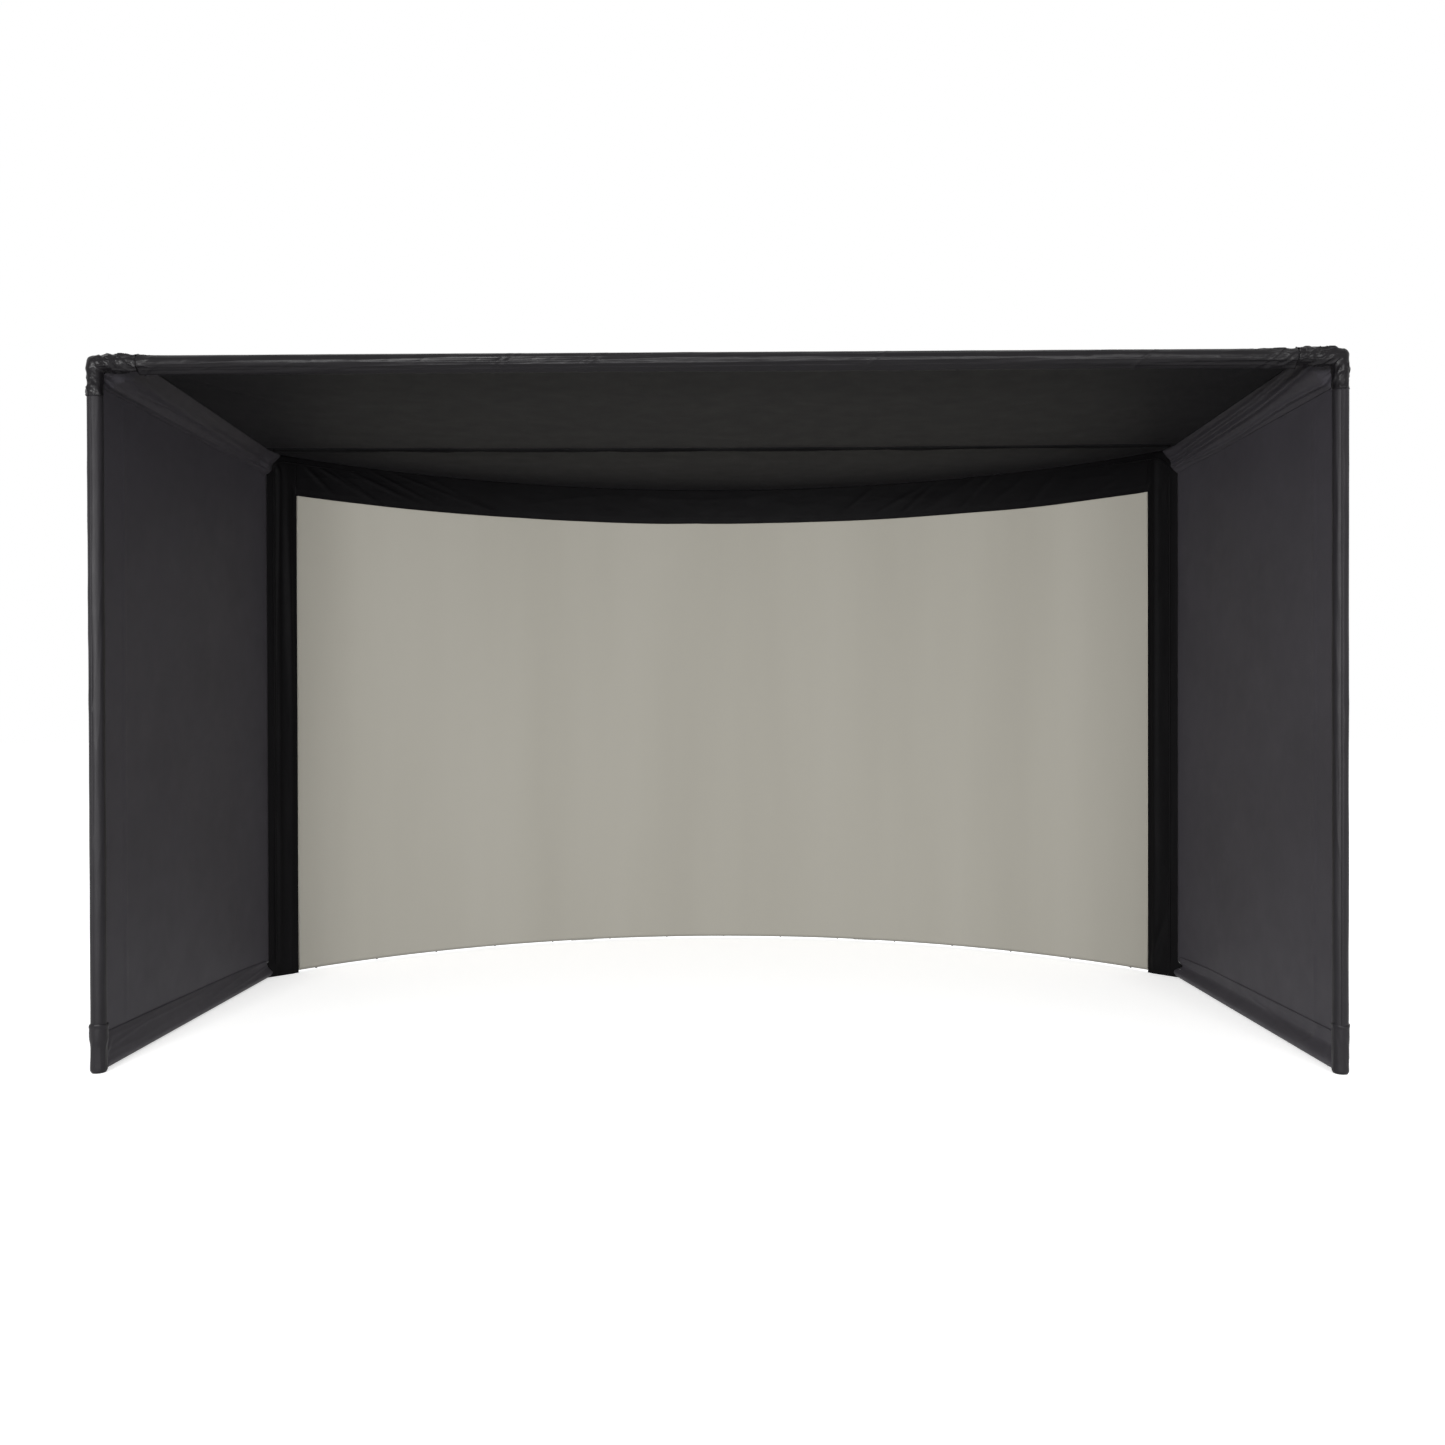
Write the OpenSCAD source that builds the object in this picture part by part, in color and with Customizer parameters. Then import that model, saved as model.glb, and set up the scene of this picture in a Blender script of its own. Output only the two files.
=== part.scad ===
// Golf practice enclosure: a pipe frame with bowed rear pipes, a laced impact screen and a sewn cloth cover.
// X runs across the opening, Y from the open front to the screen, Z up. The origin is the middle of the
// footprint, on the floor.

/* [Frame] */
// Width between the post centre lines
span = 4210; // [3800:10:4500]
// Height of the top pipes' centre lines above the floor
top_z = 2412; // [1900:1:2900]
// Depth of each straight side, from front post to rear post, between centre lines
side_depth = 1500; // [1000:10:1900]
// Radius of the bowed rear pipes, along their centre lines
bow_r = 2743; // [2500:1:4500]

/* [Pipe] */
// Outside diameter of the steel pipe
pipe_d = 29.5; // [25:0.5:34]
// Wall of the steel pipe
pipe_wall = 1.5; // [1:0.1:3]
// Gap left between two pipe ends inside a coupling
pipe_end_gap = 2; // [1:0.5:6]

/* [Corner fittings] */
// Wall of each socket
socket_wall = 4; // [3:0.25:6]
// Depth to which a pipe slides into a socket
socket_depth = 70; // [50:1:90]
// Solid stop between the corner's hub and a pipe's end
stop_t = 3; // [2:0.5:8]
// Length of each pipe coupling
coupling_len = 120; // [80:5:180]
// Wall of each pipe coupling
coupling_wall = 2.5; // [2:0.25:3.5]
// Diameter of the set screws
screw_d = 8; // [6:0.5:9]
// Diameter of the boss around each set screw on a corner
boss_d = 14; // [12:0.5:15]
// Height of that boss above its socket
boss_h = 3.5; // [2:0.25:3.75]

/* [Foam] */
// Outside diameter of the foam on the front pipes
foam_d = 48; // [47:0.5:60]

/* [Cloth] */
// Thickness of the cover's cloth
skin_t = 1.2; // [0.8:0.1:2]
// Cloth gathered over the front corners: its thickness
hood_t = 2.4; // [1.6:0.1:4]
// Length of a corner hood along the front top pipe
hood_len = 150; // [110:5:220]
// Reach of a front sleeve's tail from the pipe centre to the panel that it is sewn to
tail_reach = 34; // [30:1:50]
// Drop of the loose front top sleeve below the pipe centre
sleeve_sag = 36; // [30:1:60]
// Leg of the top side pockets at the front
pocket_leg_front = 110; // [60:1:140]
// Leg of the top side pockets at the rear
pocket_leg_rear = 45; // [35:1:100]
// Height of the bottom side pockets above the pipe centre
pocket_h = 100; // [60:1:140]
// Distance from the rear posts to the roof's cross seam
seam_inset = 115; // [100:1:250]
// Height of the gathers where the cloth bunches round the front top pipe
gather_h = 3; // [0:0.25:5]
// Height of the long folds in the top side pockets and the border over the screen
fold_h = 9; // [0:0.5:14]
// Drop of the hem behind the bowed top pipe
hem_drop = 35; // [20:1:60]

/* [Screen] */
// Thickness of the impact screen
sheet_t = 3; // [2:0.25:5]
// Height of the screen's lower edge above the floor
sheet_z = 12; // [5:1:40]
// Height of the black border over the screen, from the top pipe's centre line
border_h = 160; // [140:1:260]
// Width of the black side borders, from the rear post's centre line
border_w = 127; // [115:1:200]
// Part of the screen that lies behind the border
overlap = 45; // [40:1:60]
// Width of the webbing sewn to the screen's edges
webbing_w = 42; // [36:1:60]
// Thickness of the webbing
webbing_t = 2; // [1.5:0.25:3]
// Width of the hook and loop tape
tape_w = 12; // [8:1:13]
// Thickness of the closed hook and loop tape
tape_t = 3; // [2:0.25:4]
// Height of the lower strap's grommets above the floor
strap_z = 130; // [110:1:200]

/* [Lacing] */
// Bungees along the top edge
top_bungees = 15; // [9:1:21]
// Bungees along each side
side_bungees = 7; // [4:1:9]
// Diameter of the bungee cord
cord_d = 3.5; // [2.5:0.25:4]
// Diameter of the bungee balls
ball_d = 22; // [18:1:26]
// Hole in a grommet
grommet_d = 12; // [11:0.5:14]
// Width of a grommet's flange
flange_w = 4.5; // [3:0.5:6]
// Thickness of a grommet's flange
flange_t = 0.8; // [0.5:0.1:1.2]

/* [Hidden] */
$fn = 96;
fit = 0.3; // running gap between rigid pieces
seam = 0.2; // gap between pieces of cloth that are sewn together
floor_gap = 0.5; // the feet stand this much lower than the cloth
soft_fn = 24;
gather_pitch = 25; // from one gather to the next
gather_points = 6;
gathered_end = 100; // the sleeve is bunched this far from each hood
tip_r = 1.5; // inner radius where two cloths meet in a seam
eyelet_wall = 0.7;
hex_depth = 2.5;
hex_d = 4.6;
leg_step = 0.2; // each leg of a corner is this much slimmer than the last, and the first than the hub
chamfer = 1;
lap = 1; // extra length of a cut, so that it passes right through

// Radii that nest in each other, from the pipe outwards
pipe_r = pipe_d / 2;
socket_ir = pipe_r + fit;
socket_or = socket_ir + socket_wall;
coupling_or = socket_ir + coupling_wall;
foam_r = foam_d / 2;
sleeve_ir = foam_r + fit;
hood_or = sleeve_ir + hood_t;
hood_hub = hood_or + 4 * leg_step;
front_reach = hood_or + max(4 * leg_step, gather_h); // of the hoods, in front of the front pipes
skin_off = socket_or + fit; // from a pipe's centre to the inside of the cloth that lies on the fittings
skin_out = skin_off + skin_t;
hub = socket_or + stop_t; // from a corner to the end of each pipe
arm_len = hub + socket_depth;

// Plan of the bow: an arc with a straight end in each corner socket
half_span = span / 2;
corner_r = sqrt(pow(bow_r, 2) + pow(arm_len, 2));
corner_a = asin(half_span / corner_r); // of a rear post, from the middle of the bow
bow_a = corner_a - atan(arm_len / bow_r); // where the arc turns into the straight end
bow_rise = bow_r - corner_r * cos(corner_a); // from the rear posts back to the deepest point of the bow
hem_r = corner_r + skin_off;
total_depth = front_reach + side_depth - corner_r * cos(corner_a) + hem_r + skin_t;
front_y = front_reach - total_depth / 2;
rear_y = front_y + side_depth;
bow_y = rear_y - corner_r * cos(corner_a);

// Heights
base_z = skin_out + floor_gap;
roof_z = top_z + skin_off;
sheet_top = top_z - border_h + overlap;
border_z = top_z - border_h;
grommet_z = sheet_top - webbing_w / 2;

// Distances in front of the bow's centre line, from the fittings towards the player
webbing_back = skin_off + flange_t;
sheet_back = webbing_back + webbing_t + seam;
sheet_front = sheet_back + sheet_t;
stack_mid = (webbing_back + sheet_front) / 2;
tape_front = sheet_front + seam + tape_t;
cord_r = cord_d / 2;
loop_r = (sheet_front - webbing_back) / 2 + flange_t + cord_r + 1.2; // of a cord's bend in a grommet
wrap_r = pipe_r + fit + cord_r; // of a cord's bend round a pipe
flap_near = tape_front + seam;
flap_far = stack_mid + loop_r + cord_r + 1.5;

// Angles along the bow, in degrees from its middle
function arc_deg(length) = length / bow_r * 180 / PI;
visible_a = corner_a - arc_deg(border_w);
sheet_a = visible_a + arc_deg(overlap);
side_grommet_a = sheet_a - arc_deg(webbing_w / 2);
top_grommet_a = side_grommet_a - arc_deg(3 * webbing_w);
hem_a = asin((half_span + skin_off - 2 * seam) / (hem_r + skin_t));

// Ends of the cloth along Y and Z
panel_y = front_y + tail_reach + tip_r + skin_t + seam;
seam_y = rear_y - seam_inset;
pocket_tip = tip_r + skin_t + seam; // from a pocket's corner to the panel sewn to it
hood_drop = pocket_leg_front + pocket_tip;
cuff_top = base_z + pocket_h + pocket_tip;
// The side border runs straight on from the bow to the wall, and meets it this far in front of the post
border_run = (flap_far + skin_t) / sin(bow_a) + (skin_off - seam) * tan(bow_a);
pocket_end = rear_y - border_run - (skin_t + seam) * 4;
strap_drop = 20;
strap_off = cord_d + 3;

LEFT = -1;
RIGHT = 1;
SLANT = sqrt(0.5);

// Places ---------------------------------------------------------------------------------------

function front_top(s) = [s * half_span, front_y, top_z];
function front_bottom(s) = [s * half_span, front_y, base_z];
function rear_top(s) = [s * half_span, rear_y, top_z];
function rear_bottom(s) = [s * half_span, rear_y, base_z];
function bow_direction(s) = [-s * cos(bow_a), sin(bow_a), 0];

// Each corner fitting's arms, the upright one first: the way each socket points, and its set screw
function front_top_arms(s) = [
    [[0, 0, -1], [-s * SLANT, SLANT, 0]],
    [[-s, 0, 0], [0, SLANT, -SLANT]],
    [[0, 1, 0], [-s * SLANT, 0, -SLANT]]
];
function front_bottom_arms(s) = [
    [[0, 0, 1], [-s * SLANT, SLANT, 0]],
    [[0, 1, 0], [0, 0, 1]]
];
function rear_top_arms(s) = [
    [[0, 0, -1], [0, 1, 0]],
    [[0, -1, 0], [-s * SLANT, 0, -SLANT]],
    [bow_direction(s), [0, 0, -1]]
];
function rear_bottom_arms(s) = [
    [[0, 0, 1], [0, 1, 0]],
    [[0, -1, 0], [0, 0, 1]],
    [bow_direction(s), [0, 0, 1]]
];

// Turns +Z to the unit vector v
module aim(v) {
    rotate([0, acos(v.z), atan2(v.y, v.x)]) children();
}

module at_side(s) {
    if (s == LEFT) mirror([1, 0, 0]) children();
    else children();
}

// Sweeps a profile round an arc in an even number of steps, so that one of them ends in its middle
module arc_sweep(angle) {
    steps = 2 * ceil(angle / 8);
    rotate_extrude(angle = angle, $fn = angle < 8 ? $fn : floor(360 * steps / angle)) children();
}

// Sweeps a profile of (radius, z) along the bow's circle, from angle a to angle b
module bow_sweep(a, b) {
    translate([0, bow_y, 0]) rotate([0, 0, 90 - b]) arc_sweep(b - a) children();
}

// Puts children at angle a on the bow, with +X pointing out from the circle's centre
module on_bow(a) {
    translate([0, bow_y, 0]) rotate([0, 0, 90 - a]) children();
}

// A cloth strip as a profile: inner radius r, thickness t, between heights z1 and z2
module strip(r, t, z1, z2) {
    translate([r, z1]) square([t, z2 - z1]);
}

// Formed cloth ---------------------------------------------------------------------------------

// Triangles over a grid of points whose first index is first; flip turns them over
function grid_faces(rows, cols, first, flip) = [
    for (i = [0:rows - 2], j = [0:cols - 2])
        let (a = first + i * cols + j, b = a + 1, c = a + cols, d = c + 1)
            each flip ? [[a, c, b], [b, c, d]] : [[a, b, c], [b, d, c]]
];

// Triangles between two equal runs of points
function band_faces(from, to) = [
    for (k = [0:len(from) - 2])
        each [[from[k], to[k], from[k + 1]], [from[k + 1], to[k], to[k + 1]]]
];

// A piece of cloth between two grids of points, each a list of rows
module formed_sheet(front, back) {
    rows = len(front);
    cols = len(front[0]);
    count = rows * cols;
    edge = concat(
        [for (j = [0:cols - 2]) j], [for (i = [0:rows - 2]) i * cols + cols - 1],
        [for (j = [cols - 1:-1:1]) (rows - 1) * cols + j], [for (i = [rows - 1:-1:0]) i * cols]
    );
    polyhedron(
        [for (grid = [front, back], row = grid) each row],
        concat(
            grid_faces(rows, cols, 0, false), grid_faces(rows, cols, count, true),
            band_faces(edge, [for (k = edge) k + count])
        )
    );
}

// A sleeve of cloth between two lists of rings, the last point of each ring being its first again
module formed_sleeve(outer, inner) {
    rows = len(outer);
    cols = len(outer[0]) - 1;
    first = [for (j = [0:cols]) j % cols];
    ring_of = function (k) [for (j = first) j + k * cols];
    skin = function (k, flip) [
        for (i = [0:rows - 2]) each flip
            ? band_faces(ring_of(k + i), ring_of(k + i + 1))
            : band_faces(ring_of(k + i + 1), ring_of(k + i))
    ];
    polyhedron(
        [for (rings = [outer, inner], r = rings, j = [0:cols - 1]) r[j]],
        concat(
            skin(0, false), skin(rows, true),
            band_faces(ring_of(0), ring_of(rows)),
            band_faces(ring_of(2 * rows - 1), ring_of(rows - 1))
        )
    );
}

// A smooth bump, 1 at the middle and about 0 past two widths
function bump(x, width) = exp(-pow(x / width, 2));

// Pipes ----------------------------------------------------------------------------------------

module tube(outer, inner, length) {
    difference() {
        cylinder(r = outer, h = length);
        translate([0, 0, -lap]) cylinder(r = inner, h = length + 2 * lap);
    }
}

// A pipe from corner a to corner b, short of each corner by its hub or by the gap of a joint
module pipe(a, b, start = hub, end = hub) {
    length = norm(b - a);
    color("silver") translate(a) aim((b - a) / length)
        translate([0, 0, start]) tube(pipe_r, pipe_r - pipe_wall, length - start - end);
}

module front_top_pipe(s) {
    pipe(front_top(s), [0, front_y, top_z], hub, pipe_end_gap / 2);
}

module ring(outer, inner) {
    difference() {
        circle(r = outer);
        circle(r = inner);
    }
}

module bow_middle(z) {
    third = bow_a / 3 - arc_deg(pipe_end_gap / 2);
    color("silver") bow_sweep(-third, third)
        translate([bow_r, z]) ring(pipe_r, pipe_r - pipe_wall);
}

// Built from the mouth of its corner socket: a straight end inside, and outside it the bend
module bow_side(s, z) {
    bend = bow_a * 2 / 3 - arc_deg(pipe_end_gap / 2);
    color("silver") at_side(s)
        translate([half_span, rear_y, z]) aim(bow_direction(RIGHT)) translate([0, 0, arm_len]) {
            translate([0, 0, -socket_depth]) tube(pipe_r, pipe_r - pipe_wall, socket_depth);
            translate([0, bow_r, 0]) rotate([90, 0, -90]) arc_sweep(bend)
                translate([bow_r, 0]) ring(pipe_r, pipe_r - pipe_wall);
        }
}

// Couplings ------------------------------------------------------------------------------------

module front_top_coupling() {
    color("gainsboro") difference() {
        translate([-coupling_len / 2, front_y, top_z]) rotate([0, 90, 0])
            tube(coupling_or, socket_ir, coupling_len);
        for (s = [LEFT, RIGHT]) translate([s * coupling_len / 4, front_y, top_z])
            screw_hole([0, SLANT, -SLANT]);
    }
}

module bow_couplings() {
    reach = arc_deg(coupling_len / 2);
    color("gainsboro") for (z = [base_z, top_z], s = [LEFT, RIGHT])
        difference() {
            bow_sweep(s * bow_a / 3 - reach, s * bow_a / 3 + reach)
                translate([bow_r, z]) ring(coupling_or, socket_ir);
            for (k = [-0.5, 0.5]) on_bow(s * bow_a / 3 + k * reach)
                translate([bow_r, 0, z]) screw_hole([1, 0, 0]);
        }
}

// Corner fittings ------------------------------------------------------------------------------

module screw_hole(v) {
    aim(v) cylinder(r = screw_d / 2 + fit / 2, h = socket_or + boss_h + lap);
}

// A socket of radius r along v, from start before the corner's centre
module socket(v, screw, r, start) {
    aim(v) translate([0, 0, -start]) cylinder(r = r, h = arm_len + start);
    translate(v * (hub + socket_depth / 2)) aim(screw) cylinder(d = boss_d, h = socket_or + boss_h);
}

module socket_bore(v, screw) {
    aim(v) translate([0, 0, hub]) cylinder(r = socket_ir, h = socket_depth + lap);
    aim(v) translate([0, 0, arm_len - chamfer])
        cylinder(r1 = socket_ir, r2 = socket_ir + chamfer + lap, h = chamfer + lap);
    translate(v * (hub + socket_depth / 2)) screw_hole(screw);
}

// A corner at p with its sockets. The upright one runs on to the floor where the corner has a foot
module corner(p, arms, foot = 0) {
    color("gainsboro") translate(p) difference() {
        union() {
            sphere(r = socket_or);
            for (i = [0:len(arms) - 1])
                socket(arms[i][0], arms[i][1], socket_or - leg_step * (i + 1), i == 0 ? foot : 0);
        }
        for (arm = arms) socket_bore(arm[0], arm[1]);
    }
}

// A set screw that presses on a pipe whose centre is at the origin, with its head at radius top
module set_screw(v, top) {
    aim(v) difference() {
        translate([0, 0, pipe_r + fit / 3]) cylinder(d = screw_d, h = top - pipe_r - fit);
        translate([0, 0, top - hex_depth]) cylinder(d = hex_d, h = hex_depth + lap, $fn = 6);
    }
}

module corner_screws(p, arms) {
    for (arm = arms) translate(p + arm[0] * (hub + socket_depth / 2))
        set_screw(arm[1], socket_or + boss_h);
}

module set_screws() {
    color("dimgray") {
        for (s = [LEFT, RIGHT]) {
            corner_screws(front_top(s), front_top_arms(s));
            corner_screws(front_bottom(s), front_bottom_arms(s));
            corner_screws(rear_top(s), rear_top_arms(s));
            corner_screws(rear_bottom(s), rear_bottom_arms(s));
            translate([s * coupling_len / 4, front_y, top_z])
                set_screw([0, SLANT, -SLANT], coupling_or + stop_t);
        }
        reach = arc_deg(coupling_len / 2);
        for (z = [base_z, top_z], s = [LEFT, RIGHT], k = [-0.5, 0.5])
            on_bow(s * bow_a / 3 + k * reach) translate([bow_r, 0, z])
                set_screw([1, 0, 0], coupling_or + fit);
    }
}

// Foam -----------------------------------------------------------------------------------------

module foam(from, v, length) {
    color([0.16, 0.16, 0.17]) translate(from) aim(v) tube(foam_r, socket_ir, length);
}

module front_top_foam() {
    length = half_span - arm_len - coupling_len / 2 - 2 * fit;
    for (s = [LEFT, RIGHT])
        foam([s * (half_span - arm_len - fit), front_y, top_z], [-s, 0, 0], length);
}

module post_foam(s) {
    foam([s * half_span, front_y, base_z + arm_len + fit], [0, 0, 1],
        top_z - base_z - 2 * (arm_len + fit));
}

// Cover ----------------------------------------------------------------------------------------

CLOTH = [0.13, 0.13, 0.14];

// Leg of a top side pocket at depth y
function leg(y) = let (share = (y - panel_y) / (seam_y - panel_y))
    pocket_leg_front + (pocket_leg_rear - pocket_leg_front) * share;

module roof_panel() {
    front_x = half_span - leg(panel_y) - pocket_tip;
    rear_x = half_span - leg(seam_y) - pocket_tip;
    color(CLOTH) translate([0, 0, roof_z]) linear_extrude(skin_t) polygon([
        [-front_x, panel_y], [front_x, panel_y], [rear_x, seam_y - seam], [-rear_x, seam_y - seam]
    ]);
}

module roof_crescent() {
    color(CLOTH) intersection() {
        translate([0, bow_y, roof_z]) cylinder(r = hem_r - seam, h = skin_t);
        translate([-half_span - skin_out, seam_y, roof_z])
            cube([span + 2 * skin_out, bow_rise + seam_inset + 2 * skin_out, skin_t]);
    }
}

module rear_top_hem() {
    color(CLOTH) bow_sweep(-hem_a, hem_a)
        strip(hem_r, skin_t, top_z - hem_drop, roof_z + skin_t);
}

// A wall runs down to the floor only behind the bottom pocket, and up to the roof behind the top one
module wall(s) {
    low = cuff_top;
    high = top_z - pocket_tip;
    back = rear_y + skin_off;
    color(CLOTH) at_side(s) translate([half_span + skin_off, 0, 0])
        rotate([90, 0, 90]) linear_extrude(skin_t) polygon([
            [panel_y, low], [pocket_end + seam, low], [pocket_end + seam, floor_gap],
            [back, floor_gap], [back, roof_z - seam], [seam_y, roof_z - seam],
            [seam_y, high - leg(seam_y)], [panel_y, high - leg(panel_y)]
        ]);
}

// Hull of a round of radius r and of seam tips: the inside of a sewn pocket
module pocket_2d(r, tips) {
    hull() {
        circle(r = r, $fn = 2 * soft_fn);
        for (p = tips) translate(p) circle(r = tip_r, $fn = soft_fn);
    }
}

// Points of an arc with radius r about c, from angle a to angle b
function arc(c, r, a, b, count) = [
    for (k = [0:count - 1]) let (t = a + (b - a) * k / (count - 1)) c + r * [cos(t), sin(t)]
];

// Two long folds that start at the wall's edge in front and drift to the roof's edge at the back.
// across runs from the roof's edge to the wall's edge, and along from front to back
function pocket_fold(across, along) = fold_h * 4 * across * (1 - across) * (1 - 0.7 * along)
    * (bump(across - 0.8 + 0.6 * along, 0.16) + 0.6 * bump(across - 1.2 + 0.8 * along, 0.14));

// The outline of a top side pocket as (x, z) from the pipe's centre, grown by t. The slanting side
// faces the player
function pocket_ring(size, along, t) = let (
    o = skin_off - tip_r,
    side = 9,
    from = [-size, o] + (tip_r + t) * [-SLANT, -SLANT],
    to = [o, -size] + (tip_r + t) * [-SLANT, -SLANT]
) concat(
    arc([o, -size], tip_r + t, 225, 360, 4), arc([0, 0], skin_off + t, 0, 90, 6),
    arc([-size, o], tip_r + t, 90, 225, 4),
    [for (k = [1:side]) let (u = k / side)
        from + (to - from) * u - pocket_fold(u, along) * [SLANT, SLANT]]
);

module top_pocket(s) {
    steps = 22;
    rings = function (t) [
        for (i = [0:steps]) let (along = i / steps, y = panel_y + (seam_y - seam - panel_y) * along)
            [for (p = pocket_ring(leg(y), along, t)) [half_span + p.x, y, top_z + p.y]]
    ];
    color(CLOTH) at_side(s) formed_sleeve(rings(skin_t), rings(0));
}

module bottom_pocket_2d() {
    pocket_2d(skin_off, [
        [skin_off - tip_r, pocket_h], [skin_off - tip_r, tip_r - skin_off],
        [-skin_off / 2, tip_r - skin_off]
    ]);
}

module bottom_pocket(s) {
    start = front_y + hood_or + seam;
    color(CLOTH) at_side(s) translate([half_span, pocket_end, base_z]) rotate([90, 0, 0])
        linear_extrude(pocket_end - start) difference() {
            offset(r = skin_t, $fn = soft_fn) bottom_pocket_2d();
            bottom_pocket_2d();
        }
}

module front_sleeve_2d(tips) {
    difference() {
        offset(r = skin_t, $fn = soft_fn) pocket_2d(sleeve_ir, tips);
        pocket_2d(sleeve_ir, tips);
    }
}

// How far the hull of the rounds in list [[centre, radius]] reaches from the origin at angle a
function hull_reach(rounds, a) = min([
    for (t = [-84:6:84]) max([for (r = rounds) r[0] * [cos(a + t), sin(a + t)] + r[1]]) / cos(t)
]);

// The sleeve hangs loose below the front top pipe, and is bunched next to the hoods. Angle 0 is
// towards the roof panel, and 90 up
module front_top_sleeve() {
    length = span - 2 * (hood_len + seam);
    side = 16;
    ends = [for (k = [0:16]) length / 2 - k * gathered_end / 16];
    stations = concat([for (x = ends) -x], [for (k = [16:-1:0]) ends[k]]);
    rounds = function (t) [
        [[0, 0], sleeve_ir + t], [[tail_reach, skin_off - tip_r], tip_r + t],
        [[tail_reach / 6, tip_r - sleeve_sag], tip_r + t]
    ];
    gather = function (x, a) let (from_end = length / 2 - abs(x))
        gather_h * max(0, 1 - from_end / gathered_end) * (1 - bump(a - 30, 50))
            * (0.5 - 0.5 * cos(360 * from_end / gather_pitch + 2 * a));
    rings = function (t) let (reach = [for (k = [0:side]) hull_reach(rounds(t), 360 * k / side)]) [
        for (x = stations) [for (k = [0:side]) let (a = 360 * k / side, r = reach[k] + gather(x, a))
            [x, front_y + r * cos(a), top_z + r * sin(a)]]
    ];
    color(CLOTH) formed_sleeve(rings(skin_t), rings(0));
}

module post_sleeve(s) {
    top = top_z - hood_drop - seam;
    color(CLOTH) at_side(s) translate([half_span, front_y, cuff_top + seam])
        linear_extrude(top - cuff_top - seam) front_sleeve_2d([[skin_off - tip_r, tail_reach]]);
}

// The three ways that a corner hood runs: down the post, along the top pipe and back to the side
module hood_solid(r, extra) {
    sphere(r = r + 4 * leg_step);
    rotate([180, 0, 0]) cylinder(r = r + 3 * leg_step, h = hood_drop + extra);
    rotate([0, -90, 0]) cylinder(r = r + 2 * leg_step, h = hood_len + extra);
    rotate([-90, 0, 0]) cylinder(r = r + leg_step, h = panel_y - front_y - seam + extra);
}

// The bunched cloth round a hood's top leg: rings that grow towards its end
module hood_gathers() {
    count = floor((hood_len - hood_or) / gather_pitch);
    for (i = [1:count]) rotate([0, -90, 0])
        translate([0, 0, hood_len - (count - i + 0.5) * gather_pitch])
            rotate_extrude() translate([hood_or, 0]) polygon(concat([[-hood_t / 2, -gather_pitch / 2 + 1]],
                [for (k = [0:gather_points]) let (t = k / gather_points)
                    [gather_h * i / count * sin(180 * t), (t - 0.5) * (gather_pitch - 2)]],
                [[-hood_t / 2, gather_pitch / 2 - 1]]));
}

module corner_hood(s) {
    color(CLOTH) at_side(s) translate(front_top(RIGHT)) difference() {
        union() {
            hood_solid(hood_or, 0);
            hood_gathers();
        }
        hood_solid(sleeve_ir, lap);
    }
}

module foot_cuff(s) {
    color(CLOTH) at_side(s) translate([half_span, front_y, 0]) difference() {
        translate([0, 0, floor_gap]) tube(hood_or, sleeve_ir, cuff_top - floor_gap);
        translate([0, 0, base_z]) rotate([-90, 0, 0]) cylinder(r = skin_off, h = 2 * hood_or);
        translate([-skin_off, 0, -lap]) cube([2 * skin_off, 2 * hood_or, base_z + lap]);
    }
}

// Black border ---------------------------------------------------------------------------------

// Slanting folds where the border is gathered, at the left and further out at the right. along is
// the place in mm along the bow, and up the share of the height over the tape
function border_fold(along, up) = let (
    left = [for (k = [0:3]) -1380 + 220 * k],
    right = [for (k = [0:3]) 1060 + 230 * k]
) fold_h * sin(180 * up) * (
    max([for (x = left) bump(along - x - 150 * up, 55)])
    + max([for (x = right) bump(along - x + 180 * up, 55)])
);

// The flap hangs clear of the lacing, and its lower edge is pinched on to the tape
module top_border() {
    steps = 84;
    near = bow_r - flap_near;
    far = bow_r - flap_far;
    knee = border_z + tape_w + 12;
    rise = roof_z - seam - knee;
    rows = concat(
        [[near, border_z], [near, border_z + tape_w]],
        [for (k = [0:4]) [far, knee + rise * k / 4]]
    );
    grid = function (t) [
        for (p = rows) [for (i = [0:steps])
            let (
                a = visible_a * (2 * i / steps - 1),
                along = a / arc_deg(1),
                up = max(0, (p.y - knee) / rise),
                r = p.x - t - border_fold(along, up)
            )
            [r * sin(a), bow_y + r * cos(a), p.y]]
    ];
    color(CLOTH) formed_sheet(grid(skin_t), grid(0));
}

module side_border(s) {
    tape_a = visible_a + arc_deg(tape_w);
    knee_a = tape_a + arc_deg(12);
    near = bow_r - flap_near;
    far = bow_r - flap_far;
    wall_x = half_span + skin_off - seam;
    slot_x = half_span - socket_or - 2 * fit;
    color(CLOTH) at_side(s) union() {
        bow_sweep(visible_a + arc_deg(seam), tape_a)
            strip(near - skin_t, skin_t, floor_gap, roof_z - seam);
        translate([0, 0, floor_gap]) linear_extrude(roof_z - seam - floor_gap)
            polygon([
                bow_point(near, tape_a), bow_point(near - skin_t, tape_a),
                bow_point(far - skin_t, knee_a), bow_line(far - skin_t, slot_x),
                bow_line(far, slot_x), bow_point(far, knee_a)
            ]);
        translate([0, 0, base_z + skin_off]) linear_extrude(top_z - base_z - 2 * skin_off)
            polygon([
                bow_line(far - skin_t, slot_x), bow_line(far, slot_x),
                bow_line(far, wall_x), bow_line(far - skin_t, wall_x)
            ]);
    }
}

// A point at angle a and radius r from the bow's centre
function bow_point(r, a) = [r * sin(a), bow_y + r * cos(a)];

// The point at x on the line that runs straight on from radius r at the end of the bow's arc
function bow_line(r, x) = let (start = bow_point(r, bow_a))
    [x, start.y - (x - start.x) * tan(bow_a)];

// Screen ---------------------------------------------------------------------------------------

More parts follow.
